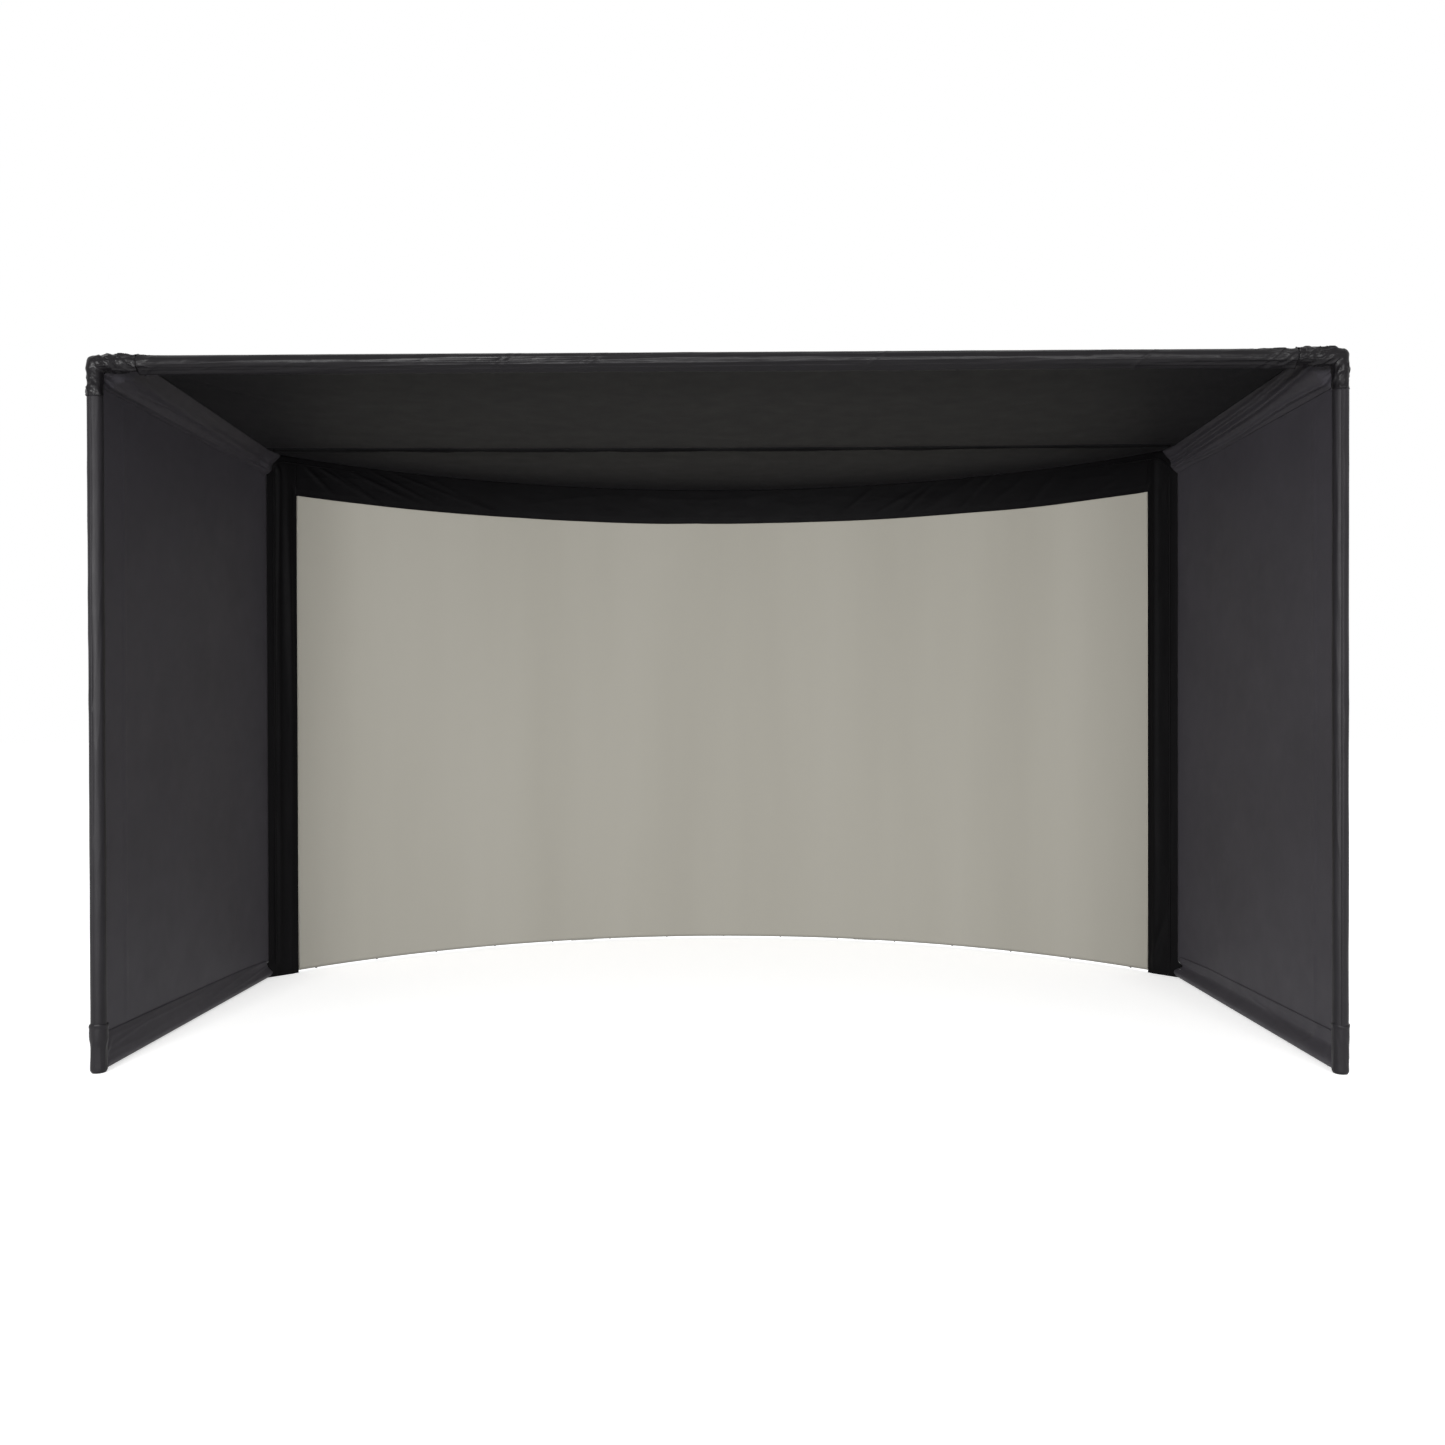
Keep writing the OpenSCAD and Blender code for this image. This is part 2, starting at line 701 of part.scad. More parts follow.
function spread(i, count, low, high) = low + (high - low) * i / (count - 1);
side_low = strap_z + ball_d * 3;
side_high = grommet_z - ball_d * 3;

module at_top_grommets() {
    for (i = [0:top_bungees - 1]) on_bow(spread(i, top_bungees, -top_grommet_a, top_grommet_a))
        translate([bow_r, 0, grommet_z]) children();
}

module at_side_grommets() {
    for (s = [LEFT, RIGHT], i = [0:side_bungees - 1]) on_bow(s * side_grommet_a)
        translate([bow_r, 0, spread(i, side_bungees, side_low, side_high)]) children();
}

module at_strap_grommets() {
    for (i = [0:top_bungees - 1]) on_bow(spread(i, top_bungees, -top_grommet_a, top_grommet_a))
        translate([bow_r, 0, strap_z]) children();
}

// A hole for a grommet, from the back of the webbing to the front of the screen
module grommet_hole() {
    translate([-sheet_front - lap, 0, 0]) rotate([0, 90, 0])
        cylinder(d = grommet_d + 2 * eyelet_wall + fit, h = sheet_front - webbing_back + 2 * lap);
}

module impact_screen() {
    color([0.66, 0.65, 0.6]) difference() {
        bow_sweep(-sheet_a, sheet_a) strip(bow_r - sheet_front, sheet_t, sheet_z, sheet_top);
        at_top_grommets() grommet_hole();
        at_side_grommets() grommet_hole();
    }
}

module screen_webbing() {
    r = bow_r - webbing_back - webbing_t;
    inner_a = sheet_a - arc_deg(webbing_w);
    side_top = sheet_top - webbing_w - seam;
    color([0.1, 0.1, 0.1]) {
        difference() {
            bow_sweep(-sheet_a, sheet_a) strip(r, webbing_t, sheet_top - webbing_w, sheet_top);
            at_top_grommets() grommet_hole();
        }
        difference() {
            for (s = [LEFT, RIGHT])
                bow_sweep(min(s * inner_a, s * sheet_a), max(s * inner_a, s * sheet_a))
                    strip(r, webbing_t, sheet_z, side_top);
            at_side_grommets() grommet_hole();
        }
    }
}

// Sewn to the back of the screen along its upper edge, and held off it lower down for the cords
module screen_bottom_strap() {
    sewn = bow_r - webbing_back - webbing_t;
    free = sewn + strap_off;
    top = strap_z + webbing_w / 2;
    low = strap_z - webbing_w / 2;
    strap_a = side_grommet_a - arc_deg(webbing_w);
    color([0.1, 0.1, 0.1]) difference() {
        bow_sweep(-strap_a, strap_a) polygon([
            [sewn, top + 2 * strap_drop], [sewn + webbing_t, top + 2 * strap_drop],
            [sewn + webbing_t, top + strap_drop], [free + webbing_t, top], [free + webbing_t, low],
            [free, low], [free, top], [sewn, top + strap_drop]
        ]);
        at_strap_grommets() translate([-webbing_back - webbing_t / 2 + strap_off, 0, 0])
            rotate([0, 90, 0]) cylinder(d = grommet_d + 2 * eyelet_wall + fit, h = webbing_t + 2 * lap,
                center = true);
    }
}

module hook_and_loop_tape() {
    r = bow_r - tape_front;
    color([0.08, 0.08, 0.08]) {
        bow_sweep(-visible_a + arc_deg(seam), visible_a - arc_deg(seam))
            strip(r, tape_t, border_z, border_z + tape_w);
        for (s = [LEFT, RIGHT]) {
            a = s * (visible_a + arc_deg(seam));
            b = s * (visible_a + arc_deg(tape_w));
            bow_sweep(min(a, b), max(a, b)) strip(r, tape_t, sheet_z, border_z + tape_w);
        }
    }
}

// A flanged eyelet along X, whose two flanges lie outside faces at x = low and x = high
module eyelet(low, high) {
    barrel = grommet_d / 2 + eyelet_wall;
    flange = grommet_d / 2 + flange_w;
    translate([low - flange_t, 0, 0]) rotate([90, 0, 90]) rotate_extrude() polygon([
        [grommet_d / 2, 0], [flange, 0], [flange, flange_t], [barrel, flange_t],
        [barrel, high - low + flange_t], [flange, high - low + flange_t],
        [flange, high - low + 2 * flange_t], [grommet_d / 2, high - low + 2 * flange_t]
    ]);
}

module screen_grommets() {
    ease = fit / 10;
    strap_x = -webbing_back - webbing_t / 2 + strap_off;
    color("gold") {
        at_top_grommets() eyelet(-sheet_front - ease, -webbing_back + ease);
        at_side_grommets() eyelet(-sheet_front - ease, -webbing_back + ease);
        at_strap_grommets() eyelet(strap_x - webbing_t / 2 - ease, strap_x + webbing_t / 2 + ease);
    }
}

// Lacing ---------------------------------------------------------------------------------------

// Lies in the XY plane: a belt of cord round a pipe at the origin and round a bend at distance
// length on +X
module cord_loop(length) {
    turn = acos((wrap_r - loop_r) / length);
    strand = sqrt(pow(length, 2) - pow(wrap_r - loop_r, 2));
    rotate([0, 0, turn]) rotate_extrude(angle = 360 - 2 * turn)
        translate([wrap_r, 0]) circle(r = cord_r);
    translate([length, 0, 0]) rotate([0, 0, -turn]) rotate_extrude(angle = 2 * turn)
        translate([loop_r, 0]) circle(r = cord_r);
    for (side = [-1, 1])
        translate([wrap_r * cos(turn), side * wrap_r * sin(turn), 0])
            aim([sin(turn), -side * cos(turn), 0]) translate([0, 0, -fit])
                cylinder(r = cord_r - fit / 6, h = strand + 2 * fit);
}

// The ball is threaded on the strand at +Y
module cord_ball(length) {
    turn = acos((wrap_r - loop_r) / length);
    along = length / 2;
    translate([wrap_r * cos(turn), wrap_r * sin(turn), 0]) aim([sin(turn), -cos(turn), 0])
        translate([0, 0, along]) difference() {
            sphere(d = ball_d);
            translate([0, 0, -ball_d]) cylinder(r = cord_r + seam, h = 2 * ball_d);
        }
}

// Lays a loop from a pipe whose centre is at p to a bend at q, with the plane's other side facing up
module lay_loop(p, q, up) {
    d = q - p;
    x = d / norm(d);
    z = up;
    y = cross(z, x);
    multmatrix([
        [x.x, y.x, z.x, p.x], [x.y, y.y, z.y, p.y], [x.z, y.z, z.z, p.z], [0, 0, 0, 1]
    ]) children();
}

// In a radial plane of the bow: x outwards, z up. The bend's centre lies on the pipe's side of the hole
hole_lift = grommet_d / 2 - 0.5;
strap_mid = -webbing_back - webbing_t / 2 + strap_off;
top_bend = [-stack_mid, 0, grommet_z + hole_lift];
strap_bend = [strap_mid, 0, strap_z - hole_lift];
// In plan, for a right side grommet
side_bend_a = side_grommet_a + arc_deg(hole_lift);
side_bend = bow_point(bow_r - stack_mid, side_bend_a);

module each_bungee(cord) {
    for (i = [0:top_bungees - 1]) on_bow(spread(i, top_bungees, -top_grommet_a, top_grommet_a))
        translate([bow_r, 0, 0]) {
            top = [0, 0, top_z];
            low = [0, 0, base_z];
            lay_loop(top, top_bend, [0, -1, 0]) bungee(cord, norm(top_bend - top));
            lay_loop(low, strap_bend, [0, 1, 0]) bungee(cord, norm(strap_bend - low));
        }
    for (s = [LEFT, RIGHT], i = [0:side_bungees - 1]) {
        z = spread(i, side_bungees, side_low, side_high);
        post = [half_span, rear_y, z];
        bend = [side_bend.x, side_bend.y, z];
        at_side(s) lay_loop(post, bend, [0, 0, -1]) bungee(cord, norm(bend - post));
    }
}

module bungee(cord, length) {
    if (cord) cord_loop(length);
    else cord_ball(length);
}

module bungee_cords() {
    color([0.12, 0.12, 0.12]) each_bungee(true);
}

module bungee_balls() {
    color([0.05, 0.05, 0.05]) each_bungee(false);
}

// Nodes ----------------------------------------------------------------------------------------

front_top_pipe(LEFT);  // front_top_pipe_left
front_top_pipe(RIGHT);  // front_top_pipe_right
front_top_coupling();
pipe(front_bottom(LEFT), front_top(LEFT));  // front_left_post
pipe(front_bottom(RIGHT), front_top(RIGHT));  // front_right_post
pipe(front_top(LEFT), rear_top(LEFT));  // left_top_side_pipe
pipe(front_top(RIGHT), rear_top(RIGHT));  // right_top_side_pipe
pipe(front_bottom(LEFT), rear_bottom(LEFT));  // left_bottom_side_pipe
pipe(front_bottom(RIGHT), rear_bottom(RIGHT));  // right_bottom_side_pipe
pipe(rear_bottom(LEFT), rear_top(LEFT));  // rear_left_post
pipe(rear_bottom(RIGHT), rear_top(RIGHT));  // rear_right_post
bow_side(LEFT, top_z);  // rear_top_bow_left
bow_middle(top_z);  // rear_top_bow_middle
bow_side(RIGHT, top_z);  // rear_top_bow_right
bow_side(LEFT, base_z);  // rear_bottom_bow_left
bow_middle(base_z);  // rear_bottom_bow_middle
bow_side(RIGHT, base_z);  // rear_bottom_bow_right
bow_couplings();
corner(front_top(LEFT), front_top_arms(LEFT));  // front_top_left_corner
corner(front_top(RIGHT), front_top_arms(RIGHT));  // front_top_right_corner
corner(front_bottom(LEFT), front_bottom_arms(LEFT), foot = base_z);  // front_bottom_left_corner
corner(front_bottom(RIGHT), front_bottom_arms(RIGHT), foot = base_z);  // front_bottom_right_corner
corner(rear_top(LEFT), rear_top_arms(LEFT));  // rear_top_left_corner
corner(rear_top(RIGHT), rear_top_arms(RIGHT));  // rear_top_right_corner
corner(rear_bottom(LEFT), rear_bottom_arms(LEFT), foot = base_z);  // rear_bottom_left_corner
corner(rear_bottom(RIGHT), rear_bottom_arms(RIGHT), foot = base_z);  // rear_bottom_right_corner
set_screws();
front_top_foam();
post_foam(LEFT);  // left_post_foam
post_foam(RIGHT);  // right_post_foam
roof_panel();
roof_crescent();
rear_top_hem();
wall(LEFT);  // left_wall
wall(RIGHT);  // right_wall
top_pocket(LEFT);  // left_top_pocket
top_pocket(RIGHT);  // right_top_pocket
bottom_pocket(LEFT);  // left_bottom_pocket
bottom_pocket(RIGHT);  // right_bottom_pocket
front_top_sleeve();
post_sleeve(LEFT);  // left_post_sleeve
post_sleeve(RIGHT);  // right_post_sleeve
corner_hood(LEFT);  // left_corner_hood
corner_hood(RIGHT);  // right_corner_hood
foot_cuff(LEFT);  // left_foot_cuff
foot_cuff(RIGHT);  // right_foot_cuff
top_border();
side_border(LEFT);  // left_border
side_border(RIGHT);  // right_border
impact_screen();
screen_webbing();
screen_bottom_strap();
hook_and_loop_tape();
screen_grommets();
bungee_cords();
bungee_balls();
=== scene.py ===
"""Looks of the golf practice enclosure: its cloth, screen, lacing and light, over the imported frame.

Lengths are in metres. X runs across the opening, Y from the open front to the screen, Z up.
"""

import math

import bmesh
import bpy
import numpy as np
from mathutils import Matrix, Vector


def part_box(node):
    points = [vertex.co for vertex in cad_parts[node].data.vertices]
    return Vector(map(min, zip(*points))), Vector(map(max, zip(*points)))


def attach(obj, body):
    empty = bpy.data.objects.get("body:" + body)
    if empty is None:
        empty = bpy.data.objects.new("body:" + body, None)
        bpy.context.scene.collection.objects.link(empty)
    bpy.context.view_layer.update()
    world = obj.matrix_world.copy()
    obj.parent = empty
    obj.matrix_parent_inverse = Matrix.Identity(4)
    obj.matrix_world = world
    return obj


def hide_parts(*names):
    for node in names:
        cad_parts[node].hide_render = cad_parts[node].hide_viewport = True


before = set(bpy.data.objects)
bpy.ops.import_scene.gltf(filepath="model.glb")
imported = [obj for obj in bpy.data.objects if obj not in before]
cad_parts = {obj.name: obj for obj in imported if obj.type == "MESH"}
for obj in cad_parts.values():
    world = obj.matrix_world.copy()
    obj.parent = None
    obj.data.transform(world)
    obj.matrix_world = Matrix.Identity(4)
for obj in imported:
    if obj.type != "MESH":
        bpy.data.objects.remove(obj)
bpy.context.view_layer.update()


# Places, read from the frame


def middle(node):
    low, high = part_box(node)
    return [(a + b) / 2 for a, b in zip(low, high)]


HALF, FRONT = middle("front_right_post")[:2]
REAR = middle("rear_right_post")[1]
TOP = middle("right_top_side_pipe")[2]
BASE = middle("right_bottom_side_pipe")[2]
PIPE_R = (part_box("front_right_post")[1][0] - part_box("front_right_post")[0][0]) / 2
FOAM_R = (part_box("right_post_foam")[1][0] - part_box("right_post_foam")[0][0]) / 2
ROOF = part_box("roof_panel")[0][2]
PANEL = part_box("roof_panel")[0][1]
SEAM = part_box("roof_panel")[1][1]
SKIN = ROOF - TOP  # from a pipe's centre to the cloth that lies on it
CLOTH = 0.0012  # thickness of the cover
SHEET = 0.003  # thickness of the screen
TAPE_W = 0.012  # width of the hook tape round the screen
TAPE_THICK = 0.0026
WEBBING_W, WEBBING_THICK = 0.042, 0.0018
SEWN_R = 0.0015  # radius of a sleeve's edge where it is sewn to a panel
SLEEVE_TAIL = PANEL - FRONT - 0.0029  # from a front pipe's centre back to that edge

BOW_R = 2.743
BOW_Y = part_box("rear_top_bow_middle")[1][1] - PIPE_R - BOW_R
CORNER_R = math.hypot(HALF, REAR - BOW_Y)
CORNER_A = math.atan2(HALF, REAR - BOW_Y)
BOW_A = CORNER_A - math.asin(math.sqrt(CORNER_R**2 - BOW_R**2) / CORNER_R)
SCREEN_BOTTOM, SCREEN_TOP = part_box("impact_screen")[0][2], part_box("impact_screen")[1][2]
SCREEN_A = math.asin(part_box("impact_screen")[1][0] / BOW_R)
BORDER_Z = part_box("top_border")[0][2]
SCREEN_OFF = 0.0224  # the back of the screen, in front of the bow
TAPE_OFF = 0.0300  # the border's front where it is pinched on its tape, in front of the bow
FLAP_OFF = 0.0336  # the border's front elsewhere
VISIBLE_A = math.asin(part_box("top_border")[1][0] / (BOW_R - 0.0288))
ARC_END = (BOW_A - VISIBLE_A) * BOW_R  # from the border's visible edge to where the bow turns straight
CREASE = (HALF - 0.006, REAR - 0.030)  # plan place where the side border meets the side wall
RETURN_Y = CREASE[1] - 0.30  # where the wall begins to lean in towards that crease
WALL_END = (HALF + SKIN - 0.0004, CREASE[1] - (HALF + SKIN - CREASE[0]) * math.tan(BOW_A))
FLAP_R = BOW_R - FLAP_OFF
FLAP_END = (FLAP_R * math.sin(BOW_A), BOW_Y + FLAP_R * math.cos(BOW_A))  # where the border leaves the bow
TO_CREASE = math.hypot(CREASE[0] - FLAP_END[0], CREASE[1] - FLAP_END[1])
BORDER_W = ARC_END + TO_CREASE
SIDES = {"left": -1, "right": 1}


# Smooth noise and folds


def noise(x, y, seed=0):
    """Smooth noise from -1 to 1 over numpy arrays, with cells 1 wide."""
    ix, iy = np.floor(x), np.floor(y)
    fx, fy = x - ix, y - iy
    fx, fy = fx * fx * fx * (fx * (fx * 6 - 15) + 10), fy * fy * fy * (fy * (fy * 6 - 15) + 10)

    def corner(i, j):
        h = np.sin(i * 127.1 + j * 311.7 + seed * 74.7) * 43758.5453
        return 2 * (h - np.floor(h)) - 1

    low = corner(ix, iy) * (1 - fx) + corner(ix + 1, iy) * fx
    high = corner(ix, iy + 1) * (1 - fx) + corner(ix + 1, iy + 1) * fx
    return low * (1 - fy) + high * fy


def crumple(x, y, seed=0, octaves=3):
    """Noise in octaves, each half as wide and half as high as the last."""
    total = 0
    for k in range(octaves):
        total = total + noise(x * 2**k, y * 2**k, seed + 17 * k) / 2**k
    return total / 1.6


def ridges(x, y, seed=0):
    """Sharp crests with soft valleys, from 0 to 1, as pulled cloth has."""
    return (1 - np.abs(noise(x, y, seed))) ** 3


def bump(x, width):
    """A rounded crest, 1 high, at x = 0."""
    return np.exp(-((x / width) ** 2))


def ease(x):
    """A smooth step from 0 at x = 0 to 1 at x = 1."""
    x = np.clip(x, 0, 1)
    return x * x * (3 - 2 * x)


def fan(x, y, at, reach, count, seed=0):
    """Folds that spread from the corner at, and fade over reach."""
    dx, dy = x - at[0], y - at[1]
    away = np.hypot(dx, dy)
    return ridges(np.arctan2(dy, dx) * count, away / reach, seed) * np.exp(-away / reach) * ease(away / 0.05)


# Meshes


def new_object(name, data):
    obj = bpy.data.objects.new(name, data)
    bpy.context.scene.collection.objects.link(obj)
    return obj


def grid_object(name, points, around=False):
    """A mesh over points[i, j]; around closes it along j. Its UV map is in metres of cloth."""
    rows, cols = points.shape[:2]
    verts = points.reshape(-1, 3)
    step_u = np.linalg.norm(np.diff(points, axis=1), axis=2).mean(axis=0)
    step_v = np.linalg.norm(np.diff(points, axis=0), axis=2).mean(axis=1)
    u = np.concatenate([[0], np.cumsum(step_u)])
    v = np.concatenate([[0], np.cumsum(step_v)])
    if around:
        u = np.append(u, u[-1] + step_u.mean())
    i, j = np.meshgrid(np.arange(rows - 1), np.arange(cols if around else cols - 1), indexing="ij")
    i, j = i.ravel(), j.ravel()
    k = (j + 1) % cols
    faces = np.stack([i * cols + j, i * cols + k, (i + 1) * cols + k, (i + 1) * cols + j], axis=1)
    uv = np.stack([u[j], v[i], u[j + 1], v[i], u[j + 1], v[i + 1], u[j], v[i + 1]], axis=1)
    mesh = bpy.data.meshes.new(name)
    mesh.from_pydata(verts.tolist(), [], faces.tolist())
    mesh.uv_layers.new(name="cloth").data.foreach_set("uv", uv.ravel())
    mesh.shade_smooth()
    mesh.update()
    return new_object(name, mesh)


def thicken(obj, thickness, offset):
    solid = obj.modifiers.new("thickness", "SOLIDIFY")
    solid.thickness = thickness
    solid.offset = offset
    solid.use_even_offset = False


def dress(obj, material, slot, *replaced):
    obj.data.materials.clear()
    obj.data.materials.append(material)
    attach(obj, "root")
    if replaced:
        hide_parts(*replaced)
    return obj


def cloth(name, points, material, replaced=(), thickness=CLOTH, offset=1.0,
          around=False, slot="cover_cloth"):
    """A sheet of cloth over points[i, j]."""
    obj = grid_object(name, points, around)
    thicken(obj, thickness, offset)
    dress(obj, material, slot, *replaced)
    return obj


def joined(x, y, z):
    """Points from coordinates of any shapes that broadcast."""
    return np.stack(np.broadcast_arrays(x, y, z), axis=-1)


def on_bow(r, a, z):
    """Points at radius r and angle a from the middle of the bow."""
    return joined(r * np.sin(a), BOW_Y + r * np.cos(a), z)


def spread(low, high, count):
    return np.linspace(low, high, count)


# Materials


class Nodes:
    """Short calls for building a material's nodes."""

    def __init__(self, name):
        self.material = bpy.data.materials.new(name)
        self.material.use_nodes = True
        self.tree = self.material.node_tree
        self.shader = self.tree.nodes["Principled BSDF"]

    def add(self, kind):
        return self.tree.nodes.new(kind)

    def link(self, out, into):
        self.tree.links.new(out, into)

    def place(self, kind="Object"):
        return self.add("ShaderNodeTexCoord").outputs[kind]

    def scaled(self, source, scale):
        node = self.add("ShaderNodeMapping")
        node.inputs["Scale"].default_value = scale
        self.link(source, node.inputs["Vector"])
        return node.outputs["Vector"]

    def noise(self, source, scale, detail=3.0, roughness=0.5):
        node = self.add("ShaderNodeTexNoise")
        node.inputs["Scale"].default_value = scale
        node.inputs["Detail"].default_value = detail
        node.inputs["Roughness"].default_value = roughness
        self.link(source, node.inputs["Vector"])
        return node.outputs["Fac"]

    def wave(self, source, scale, direction):
        node = self.add("ShaderNodeTexWave")
        node.bands_direction = direction
        node.inputs["Scale"].default_value = scale
        self.link(source, node.inputs["Vector"])
        return node.outputs["Fac"]

    def math(self, operation, a, b=None):
        node = self.add("ShaderNodeMath")
        node.operation = operation
        for value, socket in zip((a, b), node.inputs):
            if isinstance(value, (int, float)):
                socket.default_value = value
            elif value is not None:
                self.link(value, socket)
        return node.outputs["Value"]

    def remap(self, value, low, high):
        node = self.add("ShaderNodeMapRange")
        node.inputs["To Min"].default_value = low
        node.inputs["To Max"].default_value = high
        self.link(value, node.inputs["Value"])
        return node.outputs["Result"]

    def ramp(self, value, *stops):
        """A colour for each stop (place, (r, g, b))."""
        node = self.add("ShaderNodeValToRGB")
        while len(node.color_ramp.elements) < len(stops):
            node.color_ramp.elements.new(0.5)
        for element, (at, colour) in zip(node.color_ramp.elements, stops):
            element.position = at
            element.color = (*colour, 1)
        self.link(value, node.inputs["Fac"])
        return node.outputs["Color"]

    def bumps(self, *layers):
        """Bump layers, each (height, strength, distance in metres)."""
        normal = None
        for height, strength, distance in layers:
            node = self.add("ShaderNodeBump")
            node.inputs["Strength"].default_value = strength
            node.inputs["Distance"].default_value = distance
            self.link(height, node.inputs["Height"])
            if normal is not None:
                self.link(normal, node.inputs["Normal"])
            normal = node.outputs["Normal"]
        self.link(normal, self.shader.inputs["Normal"])

    def colour(self, socket):
        self.link(socket, self.shader.inputs["Base Color"])

    def roughness(self, socket):
        self.link(socket, self.shader.inputs["Roughness"])

    def fixed(self, **values):
        """Constants for the shader's sockets, with _ for a space in a name."""
        for key, value in values.items():
            self.shader.inputs[key.replace("_", " ")].default_value = value


THREAD = 0.00042  # width of one thread in the cover's cloth
SCREEN_THREAD = 0.0011
WEBBING_THREAD = 0.0009
WEBBING_RIB = 0.0016


def weave(m, source, thread):
    """Height of a plain weave: threads that pass over and under each other."""
    scale = 1 / (4 * thread)
    across = m.wave(source, scale, "X")
    along = m.wave(source, scale, "Y")
    return m.math("MAXIMUM", across, along)


def nylon(name, shade, rough, gloss, seed=0):
    """Coated nylon: a tight plain weave, creases from packing, and a soft sheen."""
    m = Nodes(name)
    place, cut = m.place(), m.place("UV")
    blotch = m.noise(m.scaled(place, (1, 1, 1)), 3.1 + seed, 5, 0.62)
    dark = tuple(c * 0.92 for c in shade)
    light = tuple(c * 1.08 for c in shade)
    m.colour(m.ramp(blotch, (0.34, dark), (0.5, shade), (0.68, light)))
    m.roughness(m.remap(m.noise(place, 11, 4), rough - 0.07, rough + 0.09))
    creases = m.noise(m.scaled(place, (1, 1, 0.8)), 14, 5, 0.55)
    fine = m.noise(place, 90, 3)
    m.bumps((creases, 0.22, 0.004), (fine, 0.12, 0.0008), (weave(m, cut, THREAD), 0.25, 0.00012))
    m.fixed(Specular_IOR_Level=gloss)
    m.fixed(Sheen_Weight=0.02, Sheen_Roughness=0.4, Sheen_Tint=(0.75, 0.72, 0.78, 1))
    return m.material


def screen_fabric(name, level):
    """Heavy knitted polyester in pale warm grey, with the faint vertical bands of its rolls."""
    m = Nodes(name)
    place, cut = m.place(), m.place("UV")
    bands = m.noise(m.scaled(place, (1, 1, 0.12)), 1.9, 3, 0.5)
    fleck = m.noise(place, 240, 2)
    tone = m.math("ADD", m.math("MULTIPLY", bands, 0.8), m.math("MULTIPLY", fleck, 0.2))
    dark, plain, light = (0.366, 0.350, 0.306), (0.388, 0.372, 0.326), (0.408, 0.392, 0.346)
    stops = [(at, tuple(c * level for c in shade)) for at, shade in ((0.3, dark), (0.5, plain), (0.7, light))]
    m.colour(m.ramp(tone, *stops))
    m.roughness(m.remap(fleck, 0.82, 0.95))
    slack = m.noise(m.scaled(place, (1, 1, 0.3)), 3.2, 2)
    m.bumps((slack, 0.2, 0.006), (weave(m, cut, SCREEN_THREAD), 0.5, 0.0004))
    m.fixed(Specular_IOR_Level=0.2, Sheen_Weight=0.1)
    return m.material


def webbing_fabric():
    """Dark woven webbing with ribs across it."""
    m = Nodes("webbing_fabric")
    cut = m.place("UV")
    ribs = m.wave(cut, 1 / (2 * math.pi * WEBBING_RIB), "Y")
    m.colour(m.ramp(m.noise(cut, 60, 3), (0.3, (0.012, 0.012, 0.013)), (0.7, (0.03, 0.03, 0.032))))
    m.roughness(m.remap(ribs, 0.6, 0.8))
    m.bumps((ribs, 0.6, 0.0004), (weave(m, cut, WEBBING_THREAD), 0.5, 0.0003))
    return m.material


def stitched_tape():
    """Seam tape: ribbed cloth with a row of thread stitches 4 mm from each edge."""
    m = Nodes("stitched_tape")
    cut = m.place("UV")
    split = m.add("ShaderNodeSeparateXYZ")
    m.link(cut, split.inputs["Vector"])
    across = m.math("ABSOLUTE", m.math("SUBTRACT", split.outputs["Y"], 0.018))
    row = m.math("LESS_THAN", m.math("ABSOLUTE", m.math("SUBTRACT", across, 0.014)), 0.0007)
    dash = m.math("GREATER_THAN", m.math("FRACT", m.math("MULTIPLY", split.outputs["X"], 240)), 0.25)
    thread = m.math("MULTIPLY", row, dash)
    ribs = m.wave(cut, 60, "Y")
    tone = m.math("ADD", m.math("MULTIPLY", thread, 0.7), m.math("MULTIPLY", m.noise(cut, 45, 3), 0.4))
    dark, plain, pale = (0.006, 0.006, 0.006), (0.011, 0.011, 0.011), (0.035, 0.035, 0.036)
    m.colour(m.ramp(tone, (0.1, dark), (0.4, plain), (0.9, pale)))
    m.roughness(m.remap(ribs, 0.6, 0.75))
    m.bumps((thread, 0.8, 0.0005), (ribs, 0.4, 0.0002))
    m.fixed(Specular_IOR_Level=0.15)
    return m.material


def hook_tape():
    """The fuzzy edge of closed hook and loop tape."""
    m = Nodes("hook_tape")
    cut = m.place("UV")
    loops = m.noise(cut, 900, 4, 0.7)
    m.colour(m.ramp(loops, (0.3, (0.006, 0.006, 0.007)), (0.7, (0.022, 0.022, 0.024))))
    m.roughness(m.remap(loops, 0.85, 1.0))
    m.bumps((loops, 0.8, 0.0006))
    m.fixed(Sheen_Weight=0.4)
    return m.material


def foam_skin():
    """Closed-cell foam with a fine grain."""
    m = Nodes("foam_skin")
    cells = m.noise(m.place(), 700, 3, 0.6)
    m.colour(m.ramp(cells, (0.3, (0.012, 0.012, 0.013)), (0.7, (0.03, 0.03, 0.03))))
    m.roughness(m.remap(cells, 0.8, 0.95))
    m.bumps((cells, 0.5, 0.0004))
    return m.material


def steel(name, shade, rough, spangle_scale):
    """Zinc on steel, with the spangle and the dull patches that it gets."""
    m = Nodes(name)
    place = m.place()
    cells = m.add("ShaderNodeTexVoronoi")
    cells.inputs["Scale"].default_value = spangle_scale
    m.link(place, cells.inputs["Vector"])
    spangle = m.math("MULTIPLY", cells.outputs["Color"], 0.45)
    patch = m.math("ADD", spangle, m.math("MULTIPLY", m.noise(place, 9, 5), 0.55))
    m.colour(m.ramp(patch, (0.3, tuple(c * 0.8 for c in shade)), (0.7, shade)))
    m.roughness(m.remap(patch, rough - 0.08, rough + 0.14))
    m.bumps((m.noise(place, 160, 3), 0.12, 0.0003))
    m.fixed(Metallic=1.0)
    return m.material


